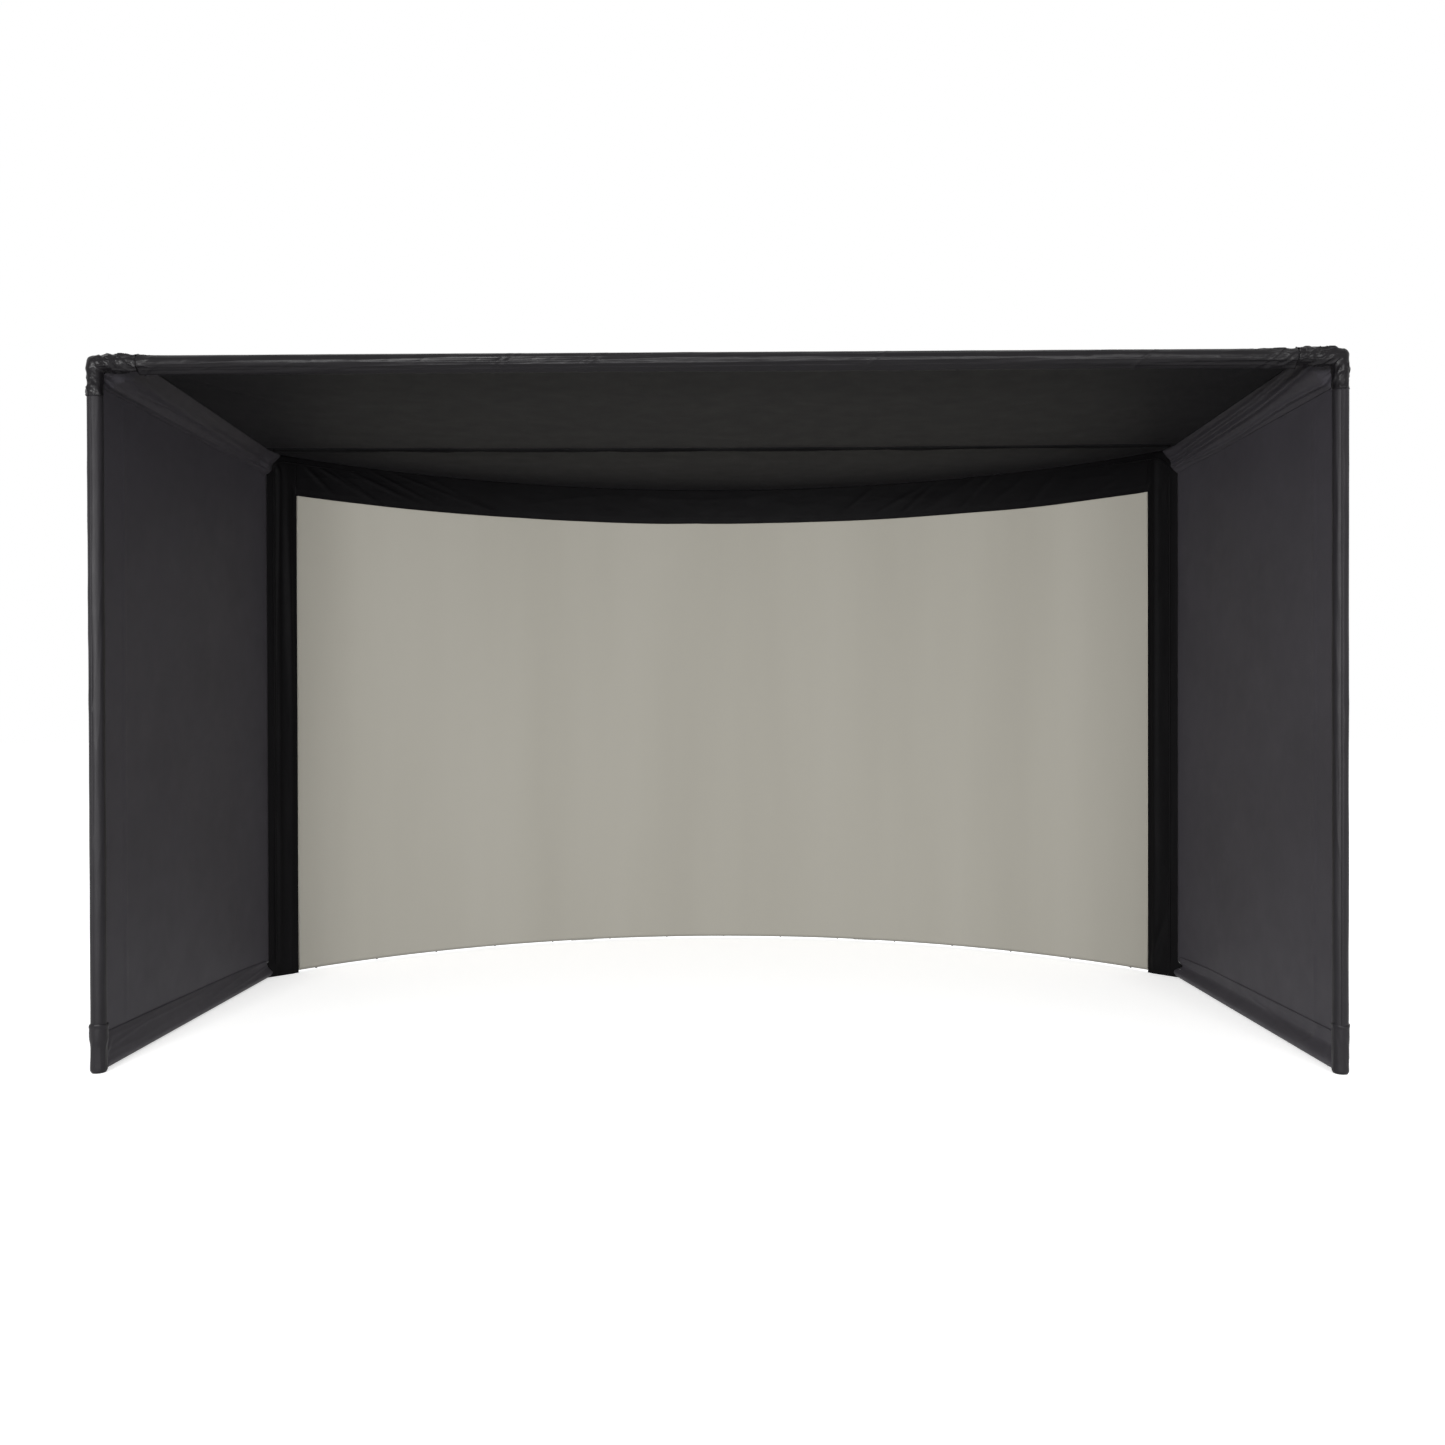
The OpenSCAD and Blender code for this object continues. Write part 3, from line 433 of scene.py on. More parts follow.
def braided_cord():
    """Elastic cord with the crossed strands of its braid."""
    m = Nodes("braided_cord")
    place = m.place()
    mirrored = m.scaled(place, (-1, 1, 1))
    braid = m.math("MAXIMUM", m.wave(place, 140, "DIAGONAL"), m.wave(mirrored, 140, "DIAGONAL"))
    m.colour(m.ramp(braid, (0.3, (0.008, 0.008, 0.009)), (0.8, (0.035, 0.035, 0.037))))
    m.roughness(m.remap(braid, 0.6, 0.8))
    m.bumps((braid, 0.6, 0.0004))
    return m.material


def ball_plastic():
    """Dark moulded plastic with a fine grain."""
    m = Nodes("ball_plastic")
    grain = m.noise(m.place(), 260, 3)
    m.colour(m.ramp(grain, (0.3, (0.010, 0.010, 0.011)), (0.7, (0.02, 0.02, 0.021))))
    m.roughness(m.remap(grain, 0.28, 0.42))
    m.bumps((grain, 0.1, 0.0002))
    return m.material


def seen_directly(tree):
    """1 for what the camera or a mirror sees of the white surroundings, 0 for the light that they give."""
    path = tree.nodes.new("ShaderNodeLightPath")
    total = path.outputs["Is Camera Ray"]
    for name in ("Is Glossy Ray", "Is Transmission Ray"):
        add = tree.nodes.new("ShaderNodeMath")
        add.operation = "MAXIMUM"
        tree.links.new(total, add.inputs[0])
        tree.links.new(path.outputs[name], add.inputs[1])
        total = add.outputs["Value"]
    return total


def floor_paint():
    """White where it is seen, and a plain grey in the light that it throws up under the roof."""
    m = Nodes("floor_paint")
    speck = m.noise(m.place(), 30, 4)
    white = m.ramp(speck, (0.3, (0.93, 0.93, 0.93)), (0.7, (0.95, 0.95, 0.95)))
    seen = seen_directly(m.tree)
    mix = m.add("ShaderNodeMix")
    mix.data_type = "RGBA"
    grey_in, white_in, colour_out = mix.inputs[6], mix.inputs[7], mix.outputs[2]
    grey_in.default_value = (0.12, 0.12, 0.12, 1)
    m.link(seen, mix.inputs["Factor"])
    m.link(white, white_in)
    m.colour(colour_out)
    m.link(m.math("MULTIPLY", seen, 0.55), m.shader.inputs["Emission Strength"])
    m.fixed(Roughness=0.8, Specular_IOR_Level=0.0, Emission_Color=(1, 1, 1, 1))
    return m.material


WALL_CLOTH = nylon("wall_cloth", (0.0470, 0.0438, 0.0525), 0.58, 0.22)
# The roof is the wall's nylon painted about five times darker: painted shade for the roof's dim underside.
ROOF_PAINTED_SHADE_CLOTH = nylon("roof_painted_shade_cloth", (0.0092, 0.0091, 0.0100), 0.60, 0.10, 1)
POST_CLOTH = nylon("post_cloth", (0.0140, 0.0130, 0.0150), 0.46, 0.15, 5)
SLEEVE_CLOTH = nylon("sleeve_cloth", (0.0062, 0.0056, 0.0066), 0.36, 0.14, 2)
BORDER_CLOTH = nylon("border_cloth", (0.0034, 0.0032, 0.0036), 0.58, 0.05, 3)
# Near black: painted shadow for the dark line under the roof's cross seam.
SEAM_PAINTED_SHADOW = nylon("seam_painted_shadow", (0.0020, 0.0019, 0.0021), 0.70, 0.08, 4)
SCREEN = screen_fabric("screen_fabric", 1.0)
# The screen's cloth made 1.45 times as bright, for the narrow hem beside each side border.
SCREEN_EDGE = screen_fabric("screen_edge", 1.45)
WEBBING = webbing_fabric()
HOOK_TAPE = hook_tape()
STITCHED_TAPE = stitched_tape()
FOAM = foam_skin()


# The cover


ROOF_SAG = 0.010


def roof_at(x):
    """Height of the roof's underside at the cross seam."""
    return ROOF - ROOF_SAG * (1 - (x / HALF) ** 2)


def roof():
    """Flat cloth over the side pipes, which sags a little and is pulled towards the front corners."""
    x = spread(-HALF, HALF, 420)[None, :]
    y = np.concatenate([spread(PANEL, SEAM - 0.016, 140), spread(SEAM - 0.014, SEAM, 9)])[:, None]
    inside = ease((HALF - np.abs(x)) / 0.25) * ease((y - PANEL) / 0.12 + 0.1) * ease((SEAM - y) / 0.05)
    pulled = sum(fan(x, y, (s * (HALF - 0.1), PANEL), 0.5, 2.2, 5 + s) for s in (-1, 1))
    soft = 0.0035 * crumple(x * 0.7, y * 1.6, 3) + 0.004 * pulled
    turned = -0.0035 * ease((y - SEAM + 0.012) / 0.010)
    sagged = ease((y - PANEL) / 0.5)
    z = roof_at(x) * sagged + ROOF * (1 - sagged) + inside * soft + turned
    # Its cloth is darkened with painted shade.
    cloth("roof_painted_shade_cloth", joined(x, y, z), ROOF_PAINTED_SHADE_CLOTH, ["roof_panel"])


def roof_seam():
    """The seam's allowance, which hangs under the roof in small ripples, in near-black cloth: painted shadow
    for the dark line under the seam.
    """
    x = spread(-HALF + 0.07, HALF - 0.07, 700)[None, :]
    down = spread(0, 1, 5)[:, None]
    deep = 0.0125 + 0.0025 * noise(x * 5.5, x * 0, 15) + 0.0012 * noise(x * 21, x * 0, 16)
    y = SEAM + 0.0009 + down * 0.0025 * noise(x * 8, x * 0, 17)
    z = roof_at(x) - 0.0006 - down * deep
    cloth("roof_seam_painted_shadow", joined(x, y, z), SEAM_PAINTED_SHADOW, offset=0.0)


def seam_tape():
    """The tape sewn over the cross seam on top of the roof, with a row of stitches along each edge."""
    x = spread(-HALF + 0.004, HALF - 0.004, 500)[None, :]
    y = spread(SEAM - 0.017, SEAM + 0.019, 9)[:, None]
    puckers = 0.0004 * noise(x * 40, y * 0, 18) + 0.0003 * noise(x * 90, y * 60, 19)
    z = roof_at(x) + CLOTH + 0.0009 + puckers
    cloth("roof_seam_tape", joined(x, y, z), STITCHED_TAPE, thickness=0.0008)


def crescent():
    """The roof between the cross seam and the bow: rows that turn from the seam's line to the bow's."""
    a = spread(-1, 1, 420)[None, :]
    share = spread(0, 1, 70)[:, None]
    edge_r = CORNER_R + SKIN
    edge_a = a * math.asin(HALF / edge_r)
    edge_x = edge_r * np.sin(edge_a)
    edge_y = BOW_Y + edge_r * np.cos(edge_a)
    x = a * HALF + (edge_x - a * HALF) * share
    y = SEAM + 0.0022 + (edge_y - SEAM - 0.0022) * share
    inside = ease((HALF - np.abs(x)) / 0.3) * ease(share * 6) * ease((1 - share) * 6)
    soft = 0.004 * crumple(x * 0.9, y * 2.0, 21) - 0.005 * np.sin(math.pi * share)
    z = roof_at(x) * (1 - ease(share)) + ROOF * ease(share) + inside * soft
    # Its cloth is darkened with painted shade.
    cloth("crescent_cloth", joined(x, y, z), ROOF_PAINTED_SHADE_CLOTH, ["roof_crescent"])


def rear_hem():
    """A band round the bow that hangs behind it."""
    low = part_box("rear_top_hem")[0][2]
    reach = math.asin((HALF + SKIN) / (CORNER_R + SKIN))
    a = spread(-reach, reach, 420)[None, :]
    z = spread(low, ROOF, 14)[:, None]
    down = (ROOF - z) / (ROOF - low)
    r = CORNER_R + SKIN + down * (0.003 * crumple(a * 18, z * 6, 31) + 0.002 * ridges(a * 30, z * 2, 33))
    cloth("rear_hem_cloth", on_bow(r, a, z), WALL_CLOTH, ["rear_top_hem"], offset=-1.0)


def away_from_pipes(z):
    """1 at the heights where only the rear post stands in the corner, 0 beside the side pipes."""
    return ease((ROOF - z - 0.048) / 0.035) * ease((z - 0.045) / 0.035)


def wall_lean(y, z):
    """How far a side wall leans in from its pipes' outer side, on its way to the crease."""
    turn = np.clip((y - RETURN_Y) / (CREASE[1] - RETURN_Y), 0, 1)
    return (HALF + SKIN - CREASE[0]) * away_from_pipes(z) * turn**1.35


def wall_bulge(y, z, side):
    """How far a side wall stands out from the plane of its pipes."""
    depth, height = (y - PANEL) / (RETURN_Y - PANEL), (z - BASE) / (TOP - BASE)
    free = np.sin(math.pi * np.clip(depth, 0, 1)) * np.sin(math.pi * np.clip(height, 0, 1))
    soft = crumple(y * 1.3, z * 0.8, 41 + side) * 0.010 + crumple(y * 5, z * 2.2, 43 + side) * 0.0022
    pulled = sum(
        fan(y, z, (PANEL + (RETURN_Y - PANEL) * cy, BASE + (TOP - BASE) * cz), 0.5, 2.2, 45 + side + cy)
        for cy in (0, 1) for cz in (0, 1)
    )
    pleat = -0.0020 * bump(y - PANEL - 0.19, 0.010) * ease(height * 8) * ease((1 - height) * 8)
    return free * (soft + 0.004) + np.sqrt(np.abs(free)) * pulled * 0.0036 + pleat


def wall(name, s):
    """From the floor up and round the top side pipe. Its rear leans in to the border's crease."""
    share = np.concatenate([spread(0, 0.8, 150), spread(0.8, 1, 30)[1:]])
    rows = []
    for z in spread(0.0008, TOP, 190):
        inner = float(away_from_pipes(z))
        end_y = WALL_END[1] + (CREASE[1] - WALL_END[1]) * inner
        y = PANEL + (end_y - PANEL) * share
        at = np.full_like(y, z)
        x = HALF + SKIN - wall_lean(y, at) + wall_bulge(y, at, s) * (y < RETURN_Y)
        rows.append(np.stack([x, y, at], axis=-1))
    y = PANEL + (WALL_END[1] - PANEL) * share
    for t in spread(0, math.pi / 2, 9)[1:]:
        x, z = HALF + SKIN * math.cos(t), TOP + SKIN * math.sin(t)
        rows.append(np.stack([np.full_like(y, x), y, np.full_like(y, z)], axis=-1))
    points = np.array(rows)
    points[..., 0] *= s
    cloth(f"{name}_wall_cloth", points, WALL_CLOTH, [f"{name}_wall"], offset=s)


def top_pocket(name, s):
    """A slanting strip inside the top corner: gathered at the hood, and bulging over the rear fitting."""
    front_roof, rear_roof = {"left": (0.148, 0.058), "right": (0.112, 0.060)}[name]
    front_wall, rear_wall = {"left": (0.080, 0.090), "right": (0.098, 0.104)}[name]
    start = FRONT + 0.030
    share = np.concatenate([spread(0, 0.05, 20)[:-1], spread(0.05, 1, 190)])[None, :]
    t = spread(0, 1, 48)[:, None]
    y = start + (CREASE[1] - start) * share
    along = np.clip((y - PANEL) / (SEAM - PANEL), 0, 1)
    last = ease((y - SEAM + 0.03) / 0.09)
    off_roof = front_roof + (rear_roof - front_roof) * along + 0.014 * last
    off_wall = front_wall + (rear_wall - front_wall) * along + 0.008 * last
    size = np.hypot(off_roof, off_wall)
    crown = (4 * t * (1 - t)) ** 0.7
    if s < 0:
        fold = 0.005 * crown + 0.012 * bump(t - 0.84, 0.06) + 0.008 * bump(t - 0.35 - 0.2 * along, 0.12)
        fold = fold + last * 0.006 * (bump(t - 0.3, 0.12) + bump(t - 0.68, 0.1))
    else:
        drift = t - 0.20 - 0.50 * along - 0.07 * np.sin(5 * along)
        fold = 0.002 + 0.019 * bump(drift, 0.085) + 0.012 * bump(t - 0.82 + 0.06 * np.sin(7 * along), 0.06)
        fold = fold + 0.013 * bump(drift + 0.27, 0.07) + last * 0.006 * bump(t - 0.3, 0.1)
    fold = fold + 0.002 * ridges(t * 3.2 + along * 2.2, along * 3.5, 52 + s)
    fold = fold + 0.0012 * crumple(t * 6, y * 9, 53 + s)
    sewn = ease((y - CREASE[1] + 0.065) / 0.060)  # the folds die out where the end is sewn to the border
    fold = crown * (fold * (1 - sewn) + 0.007 * sewn)
    z = ROOF - 0.0014 - off_wall * t - fold * off_roof / size
    lean = wall_lean(y, z) * t
    x = HALF + SKIN - 0.0008 - off_roof * (1 - t) - fold * off_wall / size - lean
    y = start + (CREASE[1] + (CREASE[0] - x) * math.tan(BOW_A) - 0.003 - start) * share
    mouth = 1 - ease((y - start) / 0.075)
    angle = np.radians(112 + 225 * t)
    hug = FOAM_R + 0.0045 + 0.004 * ridges(t * 7, y * 10, 55 + s)
    mouth_x = np.minimum(HALF + hug * np.cos(angle), HALF + SKIN - 0.0008)
    mouth_z = np.minimum(TOP + hug * np.sin(angle), ROOF - 0.0014)
    points = joined(s * (x + (mouth_x - x) * mouth), y, z + (mouth_z - z) * mouth)
    cloth(f"{name}_top_pocket_cloth", points, WALL_CLOTH, [f"{name}_top_pocket"], offset=s)


def bottom_pocket(name, s):
    """Sewn to the wall over the bottom pipe, it passes inside the pipe and under it."""
    tall_front, tall_rear = {"left": (0.118, 0.082), "right": (0.120, 0.100)}[name]
    y = spread(FRONT + 0.028, CREASE[1], 180)
    share = (y - y[0]) / (y[-1] - y[0])
    tall = tall_front + (tall_rear - tall_front) * share
    inner, foot = SKIN - 0.0012, SKIN - 0.0003
    front_end = 1 - ease((y - y[0]) / 0.12)
    rows = []
    for t in spread(0, 1, 24):
        lean = t if s < 0 else float(ease(np.array(t * 2 - 1)))
        free = 4 * t * (1 - t)
        at = np.full_like(y, t)
        small = 0.0015 * crumple(y * 8, at * 3, 62)
        fold = free * (0.003 * ridges(y * 2.2 + t * 2, at * 2.0, 61 + s) + small)
        fold = fold + free * front_end * 0.006 * ridges(y * 16 + 2.4 * t, at * 1.5, 63 + s)
        if s > 0:
            fold = fold + free * 0.005 * bump(y - y[0] - 0.16 - 0.05 * t, 0.020)
        rows.append((inner - (inner + SKIN) * lean - fold, (tall - BASE) * (1 - t) + 0.004 * t))
    for t in spread(0, math.pi / 2, 8)[1:]:
        rows.append((-SKIN * math.cos(t), 0.004 * (1 - t / 1.571) - foot * math.sin(t)))
    rows += [(SKIN * 0.6, -foot), (SKIN - 0.0012, -foot + 0.0003)]
    lines = []
    for dx, dz in rows:
        to_cuff = np.sqrt(0.0270**2 - np.minimum(dx**2, SKIN**2)) - 0.028
        to_border = (CREASE[0] - HALF - dx) * math.tan(BOW_A) - 0.003
        place = y + to_cuff * (1 - share) + to_border * share
        lean = wall_lean(y, BASE + dz) * np.clip((dx + SKIN) / (SKIN + inner), 0, 1)
        lines.append(joined(HALF + dx - lean, place, BASE + dz))
    points = np.array(lines)
    points[..., 0] *= s
    cloth(f"{name}_bottom_pocket_cloth", points, WALL_CLOTH, [f"{name}_bottom_pocket"], offset=s)


def hull_reach(rounds, a):
    """How far the hull of rounds [(centre, radius)] reaches from the origin at angles a."""
    best = np.full(a.shape, 9.0)
    for t in np.radians(np.arange(-84, 85, 3)):
        n = np.stack([np.cos(a + t), np.sin(a + t)], axis=-1)
        support = np.max([n @ np.array(c) + r for c, r in rounds], axis=0)
        best = np.minimum(best, support / math.cos(t))
    return best


def top_sleeve():
    """Loose cloth round the padded front pipe, sewn to the roof behind it and bunched near its ends."""
    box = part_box("front_top_sleeve")
    sag = TOP - box[0][2] - 0.0027
    rounds = [
        ((0, 0), FOAM_R + 0.0004), ((SLEEVE_TAIL, SKIN - SEWN_R), SEWN_R), ((SLEEVE_TAIL / 6, -sag), SEWN_R),
    ]
    a = spread(0, 2 * math.pi, 97)[:-1][None, :]
    x = spread(box[0][0], box[1][0], 800)[:, None]
    reach = hull_reach(rounds, a[0])[None, :]
    from_left, from_right = x - box[0][0], box[1][0] - x
    loose = 1 - bump(np.angle(np.exp(1j * (a - 0.5))), 0.45)
    under = 1 - bump(np.angle(np.exp(1j * (a - math.pi / 2))), 0.7)  # it lies close on top
    small = 0.0008 * ridges(x * 16 + a * 0.7, a * 1.3, 71) + 0.0010 * crumple(x * 5, a * 1.5, 72)
    bunch = 0.0055 * bump(from_right, 0.12) * ridges(x * 42 + a * 1.4, a * 1.2, 73)
    bunch = bunch + 0.0045 * bump(from_left, 0.05) * ridges(x * 42 + a * 1.4, a * 1.2, 74)
    long = 0.0020 * ridges(x * 1.4 + a * 0.3, a * 2.0 + x * 0.35, 75)
    pleats = 0.0016 * sum(
        bump(x - at - 0.035 * np.sin(a), 0.009) for at in (-0.72, -0.69, -0.42, -0.40, 0.55, 1.45)
    )
    r = reach + loose * (under * (small + long + pleats) + bunch)
    points = joined(x, FRONT + r * np.cos(a), TOP + r * np.sin(a))
    cloth("top_sleeve_cloth", points, SLEEVE_CLOTH, ["front_top_sleeve"], around=True)


def post_sleeve(name, s):
    """A long sleeve round the padded post, with a tuck that runs down its front."""
    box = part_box(f"{name}_post_sleeve")
    rounds = [((0, 0), FOAM_R + 0.0004), ((SKIN - SEWN_R, SLEEVE_TAIL), SEWN_R)]
    tuck = math.radians({"left": 282, "right": 258}[name])
    a = np.concatenate([spread(0, 2 * math.pi, 73)[:-1], tuck + spread(-0.19, 0.21, 17)])
    a = np.sort(a)[None, :]
    z = spread(box[0][2], box[1][2], 420)[:, None]
    reach = hull_reach(rounds, a[0])[None, :]
    loose = 1 - bump(np.angle(np.exp(1j * (a - 1.1))), 0.5)
    soft = 0.0008 * ridges(z * 5 + a * 0.9, a * 1.2, 81 + s) + 0.0011 * crumple(z * 3, a * 1.4, 82 + s)
    here = a - tuck - 0.05 * noise(z * 1.4, z * 0, 84 + s)
    seam = 0.0022 * bump(here + 0.055, 0.05) - 0.0014 * bump(here - 0.035, 0.035)
    r = reach + loose * soft + seam
    points = joined(s * (HALF + r * np.cos(a)), FRONT + r * np.sin(a), z)
    cloth(f"{name}_post_sleeve_cloth", points, POST_CLOTH, [f"{name}_post_sleeve"], around=True, offset=s)


def remeshed_union(name, parts, voxel):
    """One closed mesh over capsules, each (from, to, radius)."""
    mesh = bpy.data.meshes.new(name)
    shape = bmesh.new()
    for start, end, radius in parts:
        start, end = Vector(start), Vector(end)
        way = end - start
        turn = Vector((0, 0, 1)).rotation_difference(way).to_matrix().to_4x4()
        made = bmesh.ops.create_cone(shape, cap_ends=True, segments=48, radius1=radius, radius2=radius,
                                     depth=way.length)["verts"]
        bmesh.ops.transform(shape, matrix=Matrix.Translation((start + end) / 2) @ turn, verts=made)
        made = bmesh.ops.create_uvsphere(shape, u_segments=48, v_segments=24, radius=radius)["verts"]
        bmesh.ops.transform(shape, matrix=Matrix.Translation(start), verts=made)
    shape.to_mesh(mesh)
    shape.free()
    obj = new_object(name, mesh)
    remesh = obj.modifiers.new("union", "REMESH")
    remesh.mode = "VOXEL"
    remesh.voxel_size = voxel
    smooth = obj.modifiers.new("smooth", "SMOOTH")
    smooth.iterations = 6
    bpy.context.view_layer.update()
    baked = bpy.data.meshes.new_from_object(obj.evaluated_get(bpy.context.evaluated_depsgraph_get()))
    bpy.data.objects.remove(obj)
    baked.name = name
    return baked


def hood(name, s):
    """Cloth bunched round a front top corner: down the post, along the top pipe and back."""
    corner = Vector((s * HALF, FRONT, TOP))
    low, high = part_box(f"{name}_corner_hood")
    across = (high[0] - low[0]) - 0.0297
    down = corner.z - low[2]
    back = high[1] - FRONT
    r = FOAM_R + 0.0021
    tail = Vector((s * 0.004, 0.0165, 0))
    mesh = remeshed_union(f"{name}_hood_cloth", [
        (corner, corner - Vector((s * (across + 0.006), 0, 0)), r),
        (corner, corner - Vector((0, 0, down + 0.006)), r),
        (corner + tail, corner + tail - Vector((0, 0, down + 0.006)), 0.0165),
        (corner, corner + Vector((0, back + 0.006, 0)), r - 0.001),
    ], 0.0030)
    verts = np.empty(len(mesh.vertices) * 3)
    mesh.vertices.foreach_get("co", verts)
    verts = verts.reshape(-1, 3)
    inward = np.array([-s, 1, -1])
    local = (verts - np.array(corner)) * inward  # all legs now run to the plus side
    legs = np.stack([local[:, 0], local[:, 2], local[:, 1]])
    which = np.argmax(legs, axis=0)
    along = np.max(legs, axis=0)
    axis = np.zeros_like(local)
    axis[which == 0, 0] = 1
    axis[which == 1, 2] = 1
    axis[which == 2, 1] = 1
    off = local - axis * np.maximum(along, 0)[:, None]
    out = off / np.maximum(np.linalg.norm(off, axis=1), 1e-6)[:, None]
    angle = np.where(which == 0, np.arctan2(local[:, 2], local[:, 1]), np.arctan2(local[:, 0], local[:, 1]))
    gather = ridges(along * 34 + angle * 1.1, angle * 1.7, 91 + s) * ease(along / 0.03)
    crush = crumple(local[:, 0] * 38 + local[:, 1] * 21, local[:, 2] * 38 - local[:, 1] * 33, 93 + s)
    size = np.where(which == 1, 0.0028, 0.0080) * gather + 0.0046 * crush - 0.0004
    local = local + out * np.clip(size, -0.0010, 0.0080)[:, None]
    verts = local * inward + np.array(corner)
    mesh.vertices.foreach_set("co", verts.ravel())
    shape = bmesh.new()
    shape.from_mesh(mesh)
    shape.verts.ensure_lookup_table()
    ends = [v for v, n in zip(shape.verts, legs.T) if n[0] > across or n[1] > down or n[2] > back - 0.0005]
    bmesh.ops.delete(shape, geom=ends, context="VERTS")
    bmesh.ops.recalc_face_normals(shape, faces=shape.faces)
    shape.to_mesh(mesh)
    shape.free()
    mesh.shade_smooth()
    obj = new_object(f"{name}_hood_cloth", mesh)
    thicken(obj, CLOTH, 0.0)
    dress(obj, SLEEVE_CLOTH, "cover_cloth", f"{name}_corner_hood")


def cuff(name, s):
    """The sleeve's lower end, with its edge folded back over the sleeve."""
    z = np.concatenate([spread(0.0006, 0.150, 60), spread(0.1515, 0.166, 12)])[:, None]
    a = spread(0, 2 * math.pi, 73)[:-1][None, :]
    rounds = [((0, 0), FOAM_R + 0.0008), ((0.010, 0.0165), 0.006)]
    reach = hull_reach(rounds, a[0])[None, :]
    over = {"left": 0.0030, "right": 0.0008}[name] * ease((z - 0.085) / 0.035)
    under = 0.0045 * np.clip(1 - z / 0.012, 0, 1) ** 2  # the hem turns in under the foot
    lip = 0.0016 * bump(z - 0.160, 0.005) + 0.0010 * bump(z - 0.004, 0.02)
    folds = 0.0014 * ridges(a * 1.6, z * 14 + a, 101 + s) * ease(z / 0.02)
    r = reach + over + lip + folds - under
    top = z + ease((z - 0.12) / 0.04) * 0.003 * np.sin(a * 2 + s)
    points = joined(s * (HALF + r * np.cos(a)), FRONT + r * np.sin(a), top)
    cloth(f"{name}_cuff_cloth", points, POST_CLOTH, [f"{name}_foot_cuff"], around=True, offset=s)


# The border and the screen


def border_line(d, out, off=FLAP_OFF):
    """Plan places on the right border, d outwards from its visible edge and out in front of its cloth."""
    t = VISIBLE_A + np.minimum(d, ARC_END) / BOW_R
    x, y = (BOW_R - off) * np.sin(t), BOW_Y + (BOW_R - off) * np.cos(t)
    share = np.clip((d - ARC_END) / TO_CREASE, 0, 1)
    x, y = x + (CREASE[0] - x) * share, y + (CREASE[1] - y) * share
    return x - out * np.sin(t), y - out * np.cos(t)


def border_folds(along, down, seed):
    """Gathers that fan out from the border's upper left corner, and softer ones that rise to the right."""
    left_end = -VISIBLE_A * BOW_R
    left = 0
    for at, lean, width, size in (
        (0.0, 0.20, 0.014, 0.9), (0.05, 0.36, 0.02, 1.0), (0.12, 0.30, 0.014, 0.6), (0.19, 0.48, 0.024, 0.9),
        (0.35, 0.42, 0.02, 0.6), (0.46, 0.60, 0.026, 0.4), (0.64, 0.40, 0.03, 0.35),
    ):
        left = left + size * bump(along - left_end - at - lean * down, width + 0.010 * down)
    right = 0
    for at, lean, width, size in (
        (0.62, 0.22, 0.02, 0.3), (0.80, 0.34, 0.026, 0.4), (0.97, 0.20, 0.02, 0.5), (1.08, 0.30, 0.028, 0.3),
        (1.28, 0.18, 0.02, 0.5), (1.42, 0.26, 0.024, 0.3), (1.66, 0.16, 0.028, 0.4),
    ):
        right = right + size * bump(along - at - lean * (1 - down), width)
    patchy = 0.62 + 0.55 * noise(along * 6.5, down * 2.2, seed + 5)
    return (left + right) * patchy + 0.35 * ridges(along * 2.3 + down, down * 1.3, seed)


def top_border():
    """Gathered cloth from the tape over the screen up to the roof."""
    over = 0.007 / BOW_R
    a = spread(-VISIBLE_A - over, VISIBLE_A + over, 1100)[None, :]
    tape_top = BORDER_Z + TAPE_W
    z = np.concatenate([spread(BORDER_Z, tape_top, 4), spread(tape_top, ROOF - 0.0004, 50)[1:]])[:, None]
    up = np.clip((z - tape_top) / (ROOF - tape_top), 0, 1)
    along = a * BOW_R
    edge = ease((VISIBLE_A - np.abs(a)) * BOW_R / 0.05)
    loose = np.sin(math.pi * np.clip(up * 0.96 + 0.02, 0, 1)) ** 0.6
    off = TAPE_OFF + (FLAP_OFF - 0.0016 - TAPE_OFF) * ease(up * 8) + 0.0016 * edge * ease(up * 8)
    folds = 0.0062 * border_folds(along, 1 - up, 111) + 0.0022 * crumple(along * 6, up * 2.5, 112)
    off = off + (0.25 + 0.75 * edge) * loose * folds * ease((VISIBLE_A + over - np.abs(a)) * BOW_R / 0.012)
    z = z - edge * (1 - up) * 0.004 * np.abs(noise(along * 2.4, up * 0, 114))
    cloth("top_border_cloth", on_bow(BOW_R - off, a, z), BORDER_CLOTH, ["top_border"], offset=-1.0)


